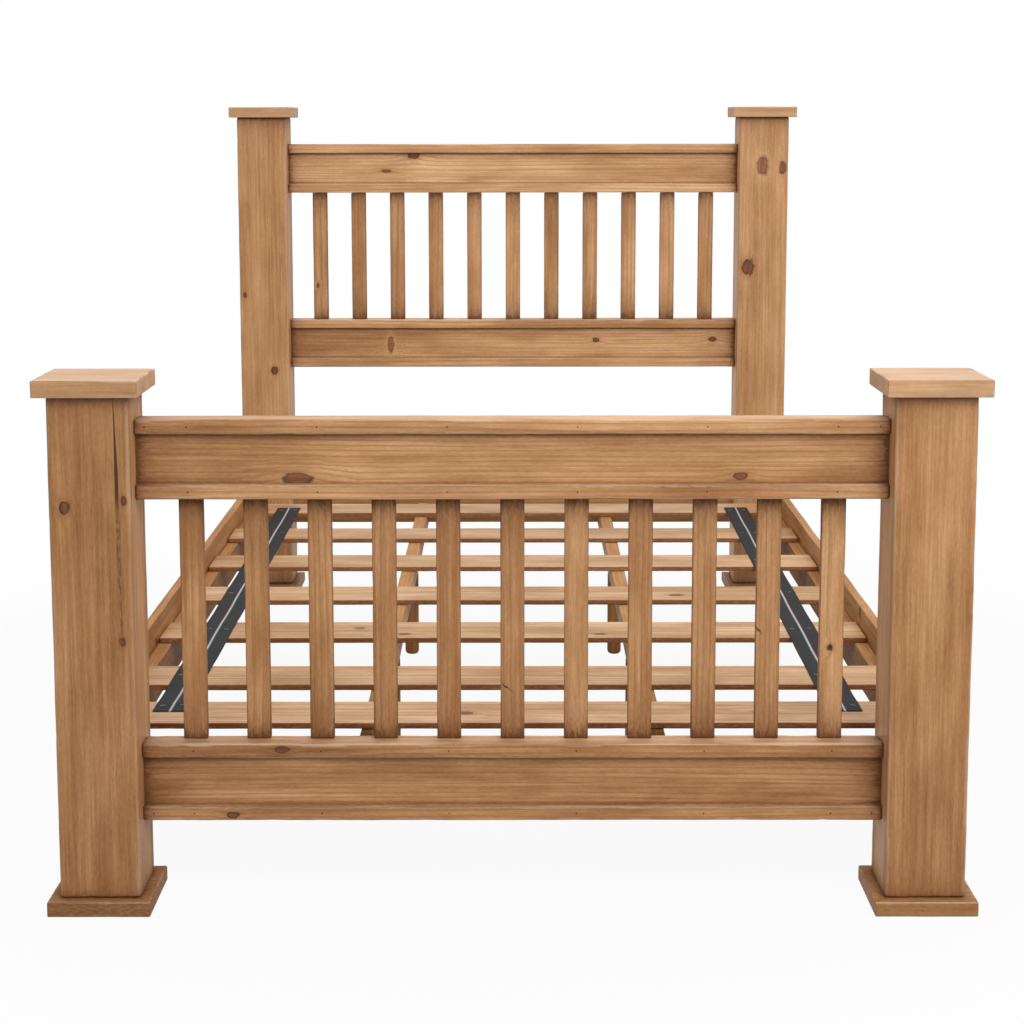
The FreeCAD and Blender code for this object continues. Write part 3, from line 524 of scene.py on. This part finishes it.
def join(kind, links, **settings):
    """A node of the copying tree, with its inputs linked or set by name."""
    made = copies.nodes.new(kind)
    for key, value in settings.items():
        setattr(made, key, value)
    for label, value in links.items():
        if isinstance(value, bpy.types.NodeSocket):
            copies.links.new(value, made.inputs[label])
        else:
            made.inputs[label].default_value = value
    return made


def stored(label, kind="FLOAT_VECTOR"):
    return join("GeometryNodeInputNamedAttribute", {"Name": label}, data_type=kind).outputs["Attribute"]


given = copies.nodes.new("NodeGroupInput").outputs
pattern = join("GeometryNodeObjectInfo", {"Object": given["Pattern"]})
placed = join("GeometryNodeInstanceOnPoints", {
    "Points": given["Places"], "Instance": pattern.outputs["Geometry"], "Rotation": stored("turn")})
real = join("GeometryNodeRealizeInstances", {"Geometry": placed.outputs["Instances"]})
moved = join("ShaderNodeVectorMath", {0: stored("grain"), 1: stored("shift")}, operation="ADD")
grown = join("GeometryNodeStoreNamedAttribute", {
    "Geometry": real.outputs["Geometry"], "Name": "grain", "Value": moved.outputs[0]},
    data_type="FLOAT_VECTOR", domain="POINT")
lumpy = join("ShaderNodeTexNoise", {"Vector": moved.outputs[0], "Scale": 28.0, "Detail": 1.0})
rubbed = join("ShaderNodeMath", {0: lumpy.outputs[0], 1: stored("worn", "FLOAT")}, operation="MULTIPLY")
depth = join("ShaderNodeMath", {0: rubbed.outputs[0], 1: given["Wear"]}, operation="MULTIPLY")
outward = copies.nodes.new("GeometryNodeInputNormal")
inward = join("ShaderNodeVectorMath", {0: outward.outputs[0], "Scale": depth.outputs[0]}, operation="SCALE")
worn = join("GeometryNodeSetPosition", {"Geometry": grown.outputs["Geometry"], "Offset": inward.outputs[0]})
finished = join("GeometryNodeSetMaterial", {
    "Geometry": worn.outputs["Geometry"], "Material": given["Finish"]})
copies.links.new(finished.outputs[0], copies.nodes.new("NodeGroupOutput").inputs[0])


def copied(name, pattern_mesh, places, finish, wear=0.0, turns=None, shifts=None, tones=None, knots=None,
           cracks=None):
    """One plain mesh of the pattern at each place, turned and given wood of its own there."""
    count = len(places)
    points = bpy.data.meshes.new(name + "_places")
    points.from_pydata([tuple(place) for place in places], [], [])
    store(points, "turn", "FLOAT_VECTOR", np.zeros((count, 3)) if turns is None else turns)
    store(points, "shift", "FLOAT_VECTOR", np.zeros((count, 3)) if shifts is None else shifts)
    if tones is not None:
        store(points, "tone", "FLOAT", tones)
        store(points, "crack", "FLOAT_COLOR", [(cracks or {}).get(row, NO_CRACK) for row in range(count)])
        for k, knot in enumerate(KNOT_NAMES):
            store(points, knot, "FLOAT_COLOR", [(knots or {}).get((row, k), NO_KNOT) for row in range(count)])
    model = bpy.data.objects.new(name + "_pattern", pattern_mesh)
    holder = bpy.data.objects.new(name + "_places", points)
    bpy.context.scene.collection.objects.link(holder)
    modifier = holder.modifiers.new("copies", "NODES")
    modifier.node_group = copies
    keys = {item.name: item.identifier for item in copies.interface.items_tree}
    modifier[keys["Pattern"]] = model
    modifier[keys["Wear"]] = -wear
    modifier[keys["Finish"]] = finish
    view = bpy.context.evaluated_depsgraph_get()
    built = holder.evaluated_get(view)
    mesh = bpy.data.meshes.new_from_object(built, preserve_all_data_layers=True, depsgraph=view)
    holder.modifiers.remove(modifier)
    bpy.data.objects.remove(holder)
    bpy.data.objects.remove(model)
    mesh.name = name
    return mesh


def own_wood(rng, start, count):
    """Shifts that give each copy a length of the tree, from the start-th on, and a place in its section."""
    across, through = rng.uniform(-0.05, 0.05, count), rng.uniform(-0.03, 0.05, count)
    return np.stack([WOOD_APART * (start + np.arange(count)), across, through], axis=1)


def on_copy(board, place, off, pith, shift):
    """Where a mark, given by its place from the pattern's middle, lies in the wood of one copy."""
    return place + WOOD_APART * board + shift[0], off - pith + shift[1]


SPINDLES = 11
spindle_wide, spindle_pith = 0.043, (0.05, 0.07)
spindle_sides = (-spindle_wide / 2, spindle_wide / 2)
# Lath tones paint light: the head end's laths are lighter than the foot end's
spindle_tones = {"foot": -0.15, "head": 0.45}
spindle_knots = {"foot": {10: (0.4623, -0.003, 0.0045, 1.1)}, "head": {0: (0.918, -0.009, 0.004, 1.6)}}
scratches = {
    "foot": {5: (0.388, -0.0086, 0.010, 0.0125), 9: (0.4916, -0.013, 0.011, 0.0095),
             10: (0.459, -0.003, 0.012, 0.0)},
    "head": {}}
for end in ("foot", "head"):
    low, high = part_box(f"{end}board_spindles")
    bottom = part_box(f"{end}board_lower_top_flange")[1].z
    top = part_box(f"{end}board_upper_bottom_flange")[0].z
    number += 1
    ends = (bottom, top)
    # Both ends darken towards the rails with glaze and painted shade, and glaze darkens the side edges
    lath = worn_board(
        (spindle_sides[0], low.y, bottom), (spindle_sides[1], high.y, top), "z", 0.0022, number, spindle_pith,
        rub=0.0, step=0.009, dents=4, fine={"z": corner_lines(*ends)},
        glaze_and_shade=lambda p, ends=ends: (
            joint_glaze_and_shade(p, "z", ends, (0.015, 0.7), (0.07, 0.4))
            + sum(near(p, "x", edge, 0.0018, 0.42) for edge in spindle_sides)))
    first, last = low.x + spindle_wide / 2, high.x - spindle_wide / 2
    places = [(x, 0, 0) for x in np.linspace(first, last, SPINDLES)]
    rng = np.random.default_rng(number)
    shifts = own_wood(rng, 40, SPINDLES)
    # Each lath's tone: its end's lightness and a lightening from left to right, both painted light, and a
    # random share of its own
    tones = spindle_tones[end] + np.linspace(-0.25, 0.25, SPINDLES) + rng.uniform(-0.35, 0.35, SPINDLES)
    middle = (bottom + top) / 2
    knots = {(row, 0): (*on_copy(number, place - middle, off, spindle_pith[0], shifts[row]), long, size)
             for row, (place, off, size, long) in spindle_knots[end].items()}
    cracks = {row: (*on_copy(number, place - middle, off, spindle_pith[0], shifts[row]), long, lean)
              for row, (place, off, long, lean) in scratches[end].items()}
    pattern_mesh = board_mesh("lath", [lath], marked=False)
    mesh = copied(f"{end}board_laths", pattern_mesh, places, panel_pine, wear=0.0003,
                  shifts=shifts, tones=tones, knots=knots, cracks=cracks)
    fitted(f"{end}board_spindles_worn", mesh, None, [f"{end}board_spindles"])

# Side rails: one deep board each side, hooked into the posts, with a ledger strip screwed inside it for the
# slats to lie on. Both are stained like the rest but not waxed, with rubbed edges.
unwaxed = pine("unwaxed_pine", pale=(0.45, 0.225, 0.088, 1), dark=(0.25, 0.102, 0.034, 1),
               darkening=(0.27, 0.110, 0.038, 1), rubbed=(0.56, 0.345, 0.175, 1), glaze_and_shade=(0.06, 0.022, 0.007, 1),
               figure=0.7, vary=1.2, ring=0.0085, gloss=0.08)
SIDE_KNOTS = {"right_side_rail": [(-0.29, 0.305, 0.009, 1.3)], "left_side_rail": [(-0.4, 0.27, 0.007, 1.3)]}
for side in ("left", "right"):
    for kind in ("side_rail", "ledger"):
        number += 1
        node = f"{side}_{kind}"
        low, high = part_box(node)
        ends = (low.y, high.y)
        inside = min(abs(low.x), abs(high.x))
        # The ledger's inner face is darkened as painted shade under the slats; the side rail's is not
        darkening = 0.0 if kind == "side_rail" else 0.35
        plank = worn_board(
            low, high, "y", 0.003, number, (0.07, 0.08), tone=-0.2, dents=10, wear=0.6, step=0.014,
            knots=SIDE_KNOTS.get(node, ()), fine={"y": corner_lines(*ends)},
            glaze_and_shade=lambda p, ends=ends, inside=inside, darkening=darkening: (
                joint_glaze_and_shade(p, "y", ends, (0.006, 0.6), (0.03, 0.2))
                + darkening * np.exp(-np.abs(np.abs(p[:, 0]) - inside) / 0.002)))
        fitted(f"{node}_worn", board_mesh(node, [plank]), unwaxed, [node])

# Centre beams and their legs: two bars from the foot rail to a stretcher between the head posts, each on two
# round legs tenoned into it. Plain planed pine, with painted shade darkening the foot end, under the first
# slat and the footboard, and the legs under the bed.
for node, grain in (("left_centre_beam", "y"), ("right_centre_beam", "y"), ("head_stretcher", "x")):
    number += 1
    low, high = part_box(node)
    # Painted shade: the beams darken strongly towards the foot end, under the first slat and the footboard
    bar = worn_board(
        low, high, grain, 0.003, number, (0.05, 0.06), dents=6, wear=0.6, step=0.014, tone=-0.3,
        glaze_and_shade=lambda p: near(p, "y", -post_at, 0.1, 3.0))
    fitted(f"{node}_worn", board_mesh(node, [bar]), unwaxed, [node])
for side in ("left", "right"):
    for end in ("foot", "head"):
        number += 1
        node = f"{side}_centre_leg_{end}"
        low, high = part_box(node)
        high.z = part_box(f"{side}_centre_beam")[0].z
        # The legs' low tone is painted shade under the bed
        stick = worn_board(low, high, "z", 0.0008, number, (0.05, 0.06), dents=0, step=0.006, tone=-1.0)

        # The square section is turned round, and the edge of its foot rounded off
        radius, ease = (high.x - low.x) / 2, 0.008
        spots, middle = stick["points"], (low + high) / 2
        u, v = (spots[:, 0] - middle.x) / radius, (spots[:, 1] - middle.y) / radius
        reach = radius - ease + np.sqrt(ease ** 2 - np.clip(ease - spots[:, 2], 0, ease) ** 2)
        spots[:, 0] = middle.x + u * np.sqrt(1 - v * v / 2) * reach
        spots[:, 1] = middle.y + v * np.sqrt(1 - u * u / 2) * reach
        stick["worn"] = np.zeros(len(spots))
        fitted(f"{node}_worn", board_mesh(node, [stick]), unwaxed, [node])

# Slats: seven thin planed boards across the ledgers and beams, paler than the frame because they are only
# lightly stained. One slat is copied to each place along the bed.
slat_pine = pine("slat_pine", pale=(0.51, 0.310, 0.162, 1), dark=(0.30, 0.140, 0.055, 1),
                 darkening=(0.34, 0.165, 0.070, 1), rubbed=(0.60, 0.390, 0.210, 1), glaze_and_shade=(0.20, 0.066, 0.017, 1),
                 figure=1.5, vary=1.6, ring=0.010, gloss=0.35)
slat_nodes = [f"slat_{k}" for k in range(1, 8)]
slats = [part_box(node) for node in slat_nodes]
slat_pith = (0.06, 0.08)
number += 1
low, high = slats[0]
edges = (low.y, high.y)
# The slats' front and back edges are darkened, glaze with painted shade, fading onto the top and underside
slat = worn_board(low, high, "x", 0.002, number, slat_pith, dents=8, wear=0.6, step=0.014,
                  glaze_and_shade=lambda p: sum(near(p, "y", edge, 0.0012, 0.85) for edge in edges))
shifts = own_wood(np.random.default_rng(number), 60, len(slats))
places = [(0, box[0].y - low.y, 0) for box in slats]
slat_tones = (0.6, 0.0, 0.2, -0.1, 0.2, -0.2, 0.1)
slat_knots = {(0, 0): (-0.0885, -0.0067, 0.008, 1.6), (0, 1): (0.473, 0.004, 0.006, 1.8),
              (2, 0): (-0.340, 0.0143, 0.006, 1.6), (2, 1): (0.192, -0.035, 0.006, 2.0),
              (2, 2): (-0.240, -0.034, 0.006, 2.0), (3, 0): (0.389, -0.0188, 0.0085, 1.8)}
knots = {key: (*on_copy(number, place, off, slat_pith[0], shifts[key[0]]), long, size)
         for key, (place, off, size, long) in slat_knots.items()}
mesh = copied("slat_boards", board_mesh("slat", [slat], marked=False), places, slat_pine, wear=0.0003,
              shifts=shifts, tones=slat_tones, knots=knots)
fitted("slats_worn", mesh, None, slat_nodes, body="slat_roll")

# Straps: two lengths of charcoal webbing, stapled to each slat and hanging a little between them. A pale line
# is woven down the middle, with a thin red and a thin green one beside it.
webbing = bpy.data.materials.new("charcoal_webbing")
webbing.use_nodes = True
tree = webbing.node_tree
shader = tree.nodes["Principled BSDF"]
cloth = tree.nodes.new("ShaderNodeUVMap")
cloth.uv_map = "weave"
parts = tree.nodes.new("ShaderNodeSeparateXYZ")
tree.links.new(cloth.outputs[0], parts.inputs[0])


def woven(operation, *values):
    """The outcome of a sum in the weave."""
    made = tree.nodes.new("ShaderNodeMath")
    made.operation = operation
    for socket, value in zip(made.inputs, values):
        if isinstance(value, bpy.types.NodeSocket):
            tree.links.new(value, socket)
        else:
            socket.default_value = value
    return made.outputs[0]


warp_pitch, weft_pitch = 0.0022, 0.0030
warp = woven("SINE", woven("MULTIPLY", parts.outputs[0], 2 * math.pi / warp_pitch))
weft = woven("SINE", woven("MULTIPLY", parts.outputs[1], 2 * math.pi / weft_pitch))
cross = woven("MULTIPLY", warp, weft)
threads = (0.016, 0.016, 0.017, 1)
strap_lines = ((-0.0020, 0.0020, (0.42, 0.43, 0.43, 1)), (0.0020, 0.0036, (0.16, 0.010, 0.022, 1)),
               (-0.0036, -0.0020, (0.012, 0.12, 0.105, 1)))
for start, stop, thread in strap_lines:
    begun = woven("GREATER_THAN", parts.outputs[0], start)
    line = woven("MULTIPLY", begun, woven("LESS_THAN", parts.outputs[0], stop))
    shade = tree.nodes.new("ShaderNodeMix")
    shade.data_type = "RGBA"
    if isinstance(threads, bpy.types.NodeSocket):
        tree.links.new(threads, shade.inputs[6])
    else:
        shade.inputs[6].default_value = threads
    shade.inputs[7].default_value = thread
    tree.links.new(line, shade.inputs[0])
    threads = shade.outputs[2]
lit = tree.nodes.new("ShaderNodeVectorMath")
lit.operation = "SCALE"
tree.links.new(threads, lit.inputs[0])
tree.links.new(woven("MULTIPLY_ADD", cross, 0.25, 1.0), lit.inputs["Scale"])
tree.links.new(lit.outputs[0], shader.inputs["Base Color"])
shader.inputs["Roughness"].default_value = 0.75
shader.inputs["Specular IOR Level"].default_value = 0.25
bump = tree.nodes.new("ShaderNodeBump")
bump.inputs["Strength"].default_value = 0.5
bump.inputs["Distance"].default_value = 0.0004
tree.links.new(cross, bump.inputs["Height"])
tree.links.new(bump.outputs[0], shader.inputs["Normal"])


def tube_faces(rows, count):
    """Quads round a tube whose rows have count points each."""
    faces = []
    for here in range(0, (rows - 1) * count, count):
        there = here + count
        for k in range(count):
            k2 = (k + 1) % count
            faces.append((here + k, here + k2, there + k2, there + k))
    return faces


strap_rows = {"left": (-0.655, -0.655), "right": (0.635, 0.650)}
strap_wide, strap_thick, dip = 0.067, 0.0014, 0.002
on_slat, selvedge = 0.008, 0.0012
strap_paths = {}
for side, (foot_x, head_x) in strap_rows.items():
    low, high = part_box(f"{side}_strap")
    ys = np.linspace(low.y, high.y, 260)
    lift = np.zeros(len(ys))
    for first, second in zip(slats, slats[1:]):
        start, stop = first[1].y - on_slat, second[0].y + on_slat
        share = np.clip((ys - start) / (stop - start), 0, 1)
        lift -= dip * 4 * share * (1 - share)
    middle_x = foot_x + (head_x - foot_x) * (ys - ys[0]) / (ys[-1] - ys[0])
    middle_z = low.z + lift
    strap_paths[side] = (ys, middle_x, middle_z)
    across = np.linspace(-strap_wide / 2, strap_wide / 2, 13)
    rim = 1 - np.clip((np.abs(across) - strap_wide / 2 + selvedge) / selvedge, 0, 1) * 0.7
    loops = []
    for y, x, z in zip(ys, middle_x, middle_z):
        under = [(x + a, y, z + strap_thick / 2 * (1 - r)) for a, r in zip(across, rim)]
        over = [(x + a, y, z + strap_thick / 2 * (1 + r)) for a, r in zip(across[::-1], rim[::-1])]
        loops.append(under + over)
    count = len(loops[0])
    faces = tube_faces(len(loops), count)
    half = count // 2
    for row, flip in ((0, False), (len(loops) - 1, True)):
        for k in range(half - 1):
            ring = [row * count + n for n in (k, count - 1 - k, count - 2 - k, k + 1)]
            faces.append(ring[::-1] if flip else ring)
    mesh = bpy.data.meshes.new(f"{side}_webbing")
    mesh.from_pydata([point for loop in loops for point in loop], [], faces)
    mesh.shade_smooth()
    weave = mesh.uv_layers.new(name="weave")
    flat_u = np.concatenate([across, across[::-1]]) * (-1 if side == "left" else 1)
    corners = np.zeros(len(mesh.loops), dtype=np.int32)
    mesh.loops.foreach_get("vertex_index", corners)
    weave.data.foreach_set("uv", np.stack([flat_u[corners % count], ys[corners // count]], axis=1).ravel())
    strap = fitted(f"{side}_strap_webbing", mesh, webbing, [f"{side}_strap"], body="slat_roll")

# Fasteners: wire staples through the straps, dark nails set into the flanges, screws through the ledgers, and
# the zinc-plated hook plates hidden between the side rails and the posts.


def metal(name, colour, rough, spread):
    """Plain metal with faint scuffs, whose roughness varies over spread."""
    material = bpy.data.materials.new(name)
    material.use_nodes = True
    links, nodes = material.node_tree.links, material.node_tree.nodes
    shader = nodes["Principled BSDF"]
    shader.inputs["Metallic"].default_value = 1.0
    place = nodes.new("ShaderNodeTexCoord")
    scuffs = nodes.new("ShaderNodeTexNoise")
    scuffs.inputs["Scale"].default_value = 900.0
    links.new(place.outputs["Object"], scuffs.inputs["Vector"])
    tint = nodes.new("ShaderNodeMix")
    tint.data_type = "RGBA"
    tint.inputs[6].default_value = colour
    tint.inputs[7].default_value = [0.6 * part for part in colour[:3]] + [1]
    links.new(scuffs.outputs[0], tint.inputs[0])
    links.new(tint.outputs[2], shader.inputs["Base Color"])
    span = nodes.new("ShaderNodeMapRange")
    span.inputs["To Min"].default_value = rough - spread
    span.inputs["To Max"].default_value = rough + spread
    links.new(scuffs.outputs[0], span.inputs["Value"])
    links.new(span.outputs[0], shader.inputs["Roughness"])
    return material


bright_wire = metal("bright_wire", (0.5, 0.5, 0.51, 1), 0.45, 0.1)
zinc = metal("zinc_plate", (0.45, 0.45, 0.46, 1), 0.4, 0.12)
dark_nail = metal("dark_nail", (0.035, 0.022, 0.015, 1), 0.6, 0.15)


def turned_mesh(name, profile, sides):
    """A small round piece from a profile of radius and height, closed at both ends of its axis."""
    points = []
    for radius, height in profile:
        for k in range(sides):
            angle = 2 * math.pi * k / sides
            points.append((radius * math.cos(angle), radius * math.sin(angle), height))
    faces = tube_faces(len(profile), sides)
    faces.append(tuple(range(sides))[::-1])
    faces.append(tuple(range((len(profile) - 1) * sides, len(profile) * sides)))
    mesh = bpy.data.meshes.new(name)
    mesh.from_pydata(points, [], faces)
    mesh.shade_smooth()
    return mesh


# A staple lies across the strap: a flattened wire crown with its ends bent down into the slat
wire, crown, leg, corner, crest = 0.0012, 0.011, 0.006, 0.0006, 0.0001
bend = [(-crown / 2, -leg), (-crown / 2, -corner), (-crown / 2 + corner, 0), (0, crest),
        (crown / 2 - corner, 0), (crown / 2, -corner), (crown / 2, -leg)]
inside = [(-crown / 2 + wire, -leg), (-crown / 2 + wire, -wire), (-crown / 2 + wire, -wire),
          (0, crest - wire),
          (crown / 2 - wire, -wire), (crown / 2 - wire, -wire), (crown / 2 - wire, -leg)]
points = []
for (x, z), (inner_x, inner_z) in zip(bend, inside):
    points += [(x, -wire / 2, z), (x, wire / 2, z)]
    points += [(inner_x, wire / 2, inner_z), (inner_x, -wire / 2, inner_z)]
faces = [(4 * row + k, 4 * row + 4 + k, 4 * row + 4 + (k + 1) % 4, 4 * row + (k + 1) % 4)
         for row in range(len(bend) - 1) for k in range(4)]
faces += [(0, 1, 2, 3), tuple(4 * (len(bend) - 1) + k for k in (3, 2, 1, 0))]
staple = bpy.data.meshes.new("staple")
staple.from_pydata(points, [], faces)
places, turns = [], []
from_edge, proud = 0.014, 0.0008
rng = np.random.default_rng(7)
for side, (ys, middle_x, middle_z) in strap_paths.items():
    for box in slats:
        y = (max(box[0].y, ys[0]) + min(box[1].y, ys[-1])) / 2
        x = np.interp(y, ys, middle_x)
        z = np.interp(y, ys, middle_z) + strap_thick + proud
        for edge in (-1, 1):
            places.append((x + edge * (strap_wide / 2 - from_edge), y + rng.uniform(-0.006, 0.006), z))
            turns.append((0, 0, rng.uniform(-0.5, 0.5)))
mesh = copied("staples", staple, places, bright_wire, turns=turns)
fitted("strap_staples_bent", mesh, None, ["strap_staples"], body="slat_roll")

# Nail heads: small dark punched heads, filled level with the flange, at every second spindle and at the posts
head = turned_mesh("nail_head", [(0.0014, -0.004), (0.0016, -0.0002), (0.0013, 0.0002), (0.0004, 0.0003)], 8)
places, turns = [], []
sunk, from_post = 0.0002, 0.019
pitch = (2 * post_face - SPINDLES * spindle_wide) / (SPINDLES + 1) + spindle_wide
for end, facing in (("footboard", -1), ("headboard", 1)):
    for level in ("lower", "upper"):
        for flange in ("bottom", "top"):
            low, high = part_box(f"{end}_{level}_{flange}_flange")
            xs = [pitch * (k - SPINDLES // 2) for k in range(0, SPINDLES, 2)]
            if (level == "lower") == (flange == "bottom"):
                xs += [-post_face + from_post, post_face - from_post]
            y = low.y if facing < 0 else high.y
            places += [(x, y - facing * sunk, (low.z + high.z) / 2) for x in xs]
            turns += [(-facing * math.pi / 2, 0, 0)] * len(xs)
mesh = copied("nail_heads", head, places, dark_nail, turns=turns)
fitted("board_nail_heads", mesh, None, ["board_nails"])

# Screw heads: flat countersunk heads with a shallow recess, level with the ledgers' inner faces
profile = [(0.0022, -0.012), (0.0022, -0.0032), (0.0041, -0.0002), (0.0040, 0.0001), (0.0018, 0.0001),
           (0.0010, -0.0012)]
screw = turned_mesh("screw_head", profile, 16)
places, turns = [], []
from_end, ledger_screws = 0.12, 6
for side, facing in (("left", 1), ("right", -1)):
    low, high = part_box(f"{side}_ledger")
    face = high.x if facing > 0 else low.x
    for y in np.linspace(low.y + from_end, high.y - from_end, ledger_screws):
        places.append((face, y, (low.z + high.z) / 2))
        turns.append((0, facing * math.pi / 2, 0))
mesh = copied("screw_heads", screw, places, zinc, turns=turns)
fitted("frame_screw_heads", mesh, None, ["frame_screws"])
for node in ("rail_hook_plates", "post_slot_plates"):
    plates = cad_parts[node].data
    plates.materials.clear()
    plates.materials.append(zinc)

# Post blocks: two blocks of plain sawn pine inside each post, glued in at its ends to hold the cap and the
# plinth, and hidden by the boards round them.
sawn = bpy.data.materials.new("sawn_pine")
sawn.use_nodes = True
links, nodes = sawn.node_tree.links, sawn.node_tree.nodes
spot = nodes.new("ShaderNodeTexCoord")
stretch = nodes.new("ShaderNodeMapping")
stretch.inputs["Scale"].default_value = (160, 160, 6)
rings = nodes.new("ShaderNodeTexNoise")
tint = nodes.new("ShaderNodeMix")
tint.data_type = "RGBA"
tint.inputs[6].default_value = (0.40, 0.23, 0.10, 1)
tint.inputs[7].default_value = (0.62, 0.42, 0.22, 1)
links.new(spot.outputs["Object"], stretch.inputs["Vector"])
links.new(stretch.outputs[0], rings.inputs["Vector"])
links.new(rings.outputs[0], tint.inputs[0])
links.new(tint.outputs[2], nodes["Principled BSDF"].inputs["Base Color"])
nodes["Principled BSDF"].inputs["Roughness"].default_value = 0.7
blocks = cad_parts["post_blocks"].data
blocks.materials.clear()
blocks.materials.append(sawn)

# Studio: a pale floor that fades into a white background, soft light from above and, more from the right than
# from the left, from in front. The camera stands before the foot of the bed, almost as high as the headboard,
# tipped down a little and with its lens shifted down.
floor_mesh = bpy.data.meshes.new("floor")
floor_mesh.from_pydata([(-30, -30, 0), (30, -30, 0), (30, 30, 0), (-30, 30, 0)], [], [(0, 1, 2, 3)])
floor = bpy.data.objects.new("floor", floor_mesh)
bpy.context.scene.collection.objects.link(floor)
paper = bpy.data.materials.new("white_floor")
paper.use_nodes = True
links, nodes = paper.node_tree.links, paper.node_tree.nodes
matt = nodes["Principled BSDF"]
matt.inputs["Base Color"].default_value = (0.5, 0.5, 0.5, 1)
matt.inputs["Roughness"].default_value = 0.9
matt.inputs["Specular IOR Level"].default_value = 0.1
glow = nodes.new("ShaderNodeEmission")
glow.inputs["Strength"].default_value = 1.0
path = nodes.new("ShaderNodeLightPath")
spot = nodes.new("ShaderNodeTexCoord")
far = nodes.new("ShaderNodeVectorMath")
far.operation = "LENGTH"
ring = nodes.new("ShaderNodeMapRange")
ring.interpolation_type = "SMOOTHSTEP"
for label, value in (("From Min", 1.0), ("From Max", 2.4), ("To Min", 0.93), ("To Max", 1.0)):
    ring.inputs[label].default_value = value
seen = nodes.new("ShaderNodeMath")
seen.operation = "MAXIMUM"
share = nodes.new("ShaderNodeMath")
share.operation = "MULTIPLY"
blend = nodes.new("ShaderNodeMixShader")
links.new(spot.outputs["Object"], far.inputs[0])
links.new(far.outputs["Value"], ring.inputs["Value"])
links.new(path.outputs["Is Camera Ray"], seen.inputs[0])
links.new(path.outputs["Is Glossy Ray"], seen.inputs[1])
links.new(seen.outputs[0], share.inputs[0])
links.new(ring.outputs[0], share.inputs[1])
links.new(share.outputs[0], blend.inputs[0])
links.new(matt.outputs[0], blend.inputs[1])
links.new(glow.outputs[0], blend.inputs[2])
links.new(blend.outputs[0], nodes["Material Output"].inputs["Surface"])
floor_mesh.materials.append(paper)

world = bpy.data.worlds.new("studio")
bpy.context.scene.world = world
world.use_nodes = True
links, nodes = world.node_tree.links, world.node_tree.nodes
soft = nodes["Background"]
soft.inputs["Color"].default_value = (1, 0.985, 0.965, 1)
soft.inputs["Strength"].default_value = 0.5
white = nodes.new("ShaderNodeBackground")
white.inputs["Color"].default_value = (1, 1, 1, 1)
path = nodes.new("ShaderNodeLightPath")
seen = nodes.new("ShaderNodeMath")
seen.operation = "MAXIMUM"
clear = nodes.new("ShaderNodeMath")
clear.operation = "MAXIMUM"
blend = nodes.new("ShaderNodeMixShader")
links.new(path.outputs["Is Camera Ray"], seen.inputs[0])
links.new(path.outputs["Is Glossy Ray"], seen.inputs[1])
links.new(seen.outputs[0], clear.inputs[0])
links.new(path.outputs["Is Transmission Ray"], clear.inputs[1])
links.new(clear.outputs[0], blend.inputs[0])
links.new(soft.outputs[0], blend.inputs[1])
links.new(white.outputs[0], blend.inputs[2])
links.new(blend.outputs[0], nodes["World Output"].inputs["Surface"])

for name, place, aim, size, power in (
        ("top_box", (0.2, -0.2, 4.4), (0, -0.1, 0.3), 4.4, 110),
        ("left_box", (-1.9, -4.3, 3.6), (0.2, -0.6, 0.6), 2.4, 40),
        ("right_box", (2.1, -3.7, 3.1), (-0.2, -0.6, 0.6), 2.4, 108)):
    lamp = bpy.data.lights.new(name, "AREA")
    lamp.shape = "SQUARE"
    lamp.size = size
    lamp.energy = power
    holder = bpy.data.objects.new(name, lamp)
    bpy.context.scene.collection.objects.link(holder)
    holder.location = place
    way = np.array(aim) - np.array(place)
    holder.rotation_euler = (math.atan2(math.hypot(way[0], way[1]), -way[2]), 0, math.atan2(-way[0], way[1]))

lens = bpy.data.cameras.new("camera")
lens.sensor_width = 36.0
lens.lens = 63.24
lens.shift_y = -0.1673
camera = bpy.data.objects.new("camera", lens)
bpy.context.scene.collection.objects.link(camera)
camera.location = (0.0035, -4.2124, 1.3846)
camera.rotation_euler = (math.pi / 2 - 0.1187, 0.001, 0.0011)
bpy.context.scene.camera = camera
bpy.context.scene.view_settings.view_transform = "Standard"
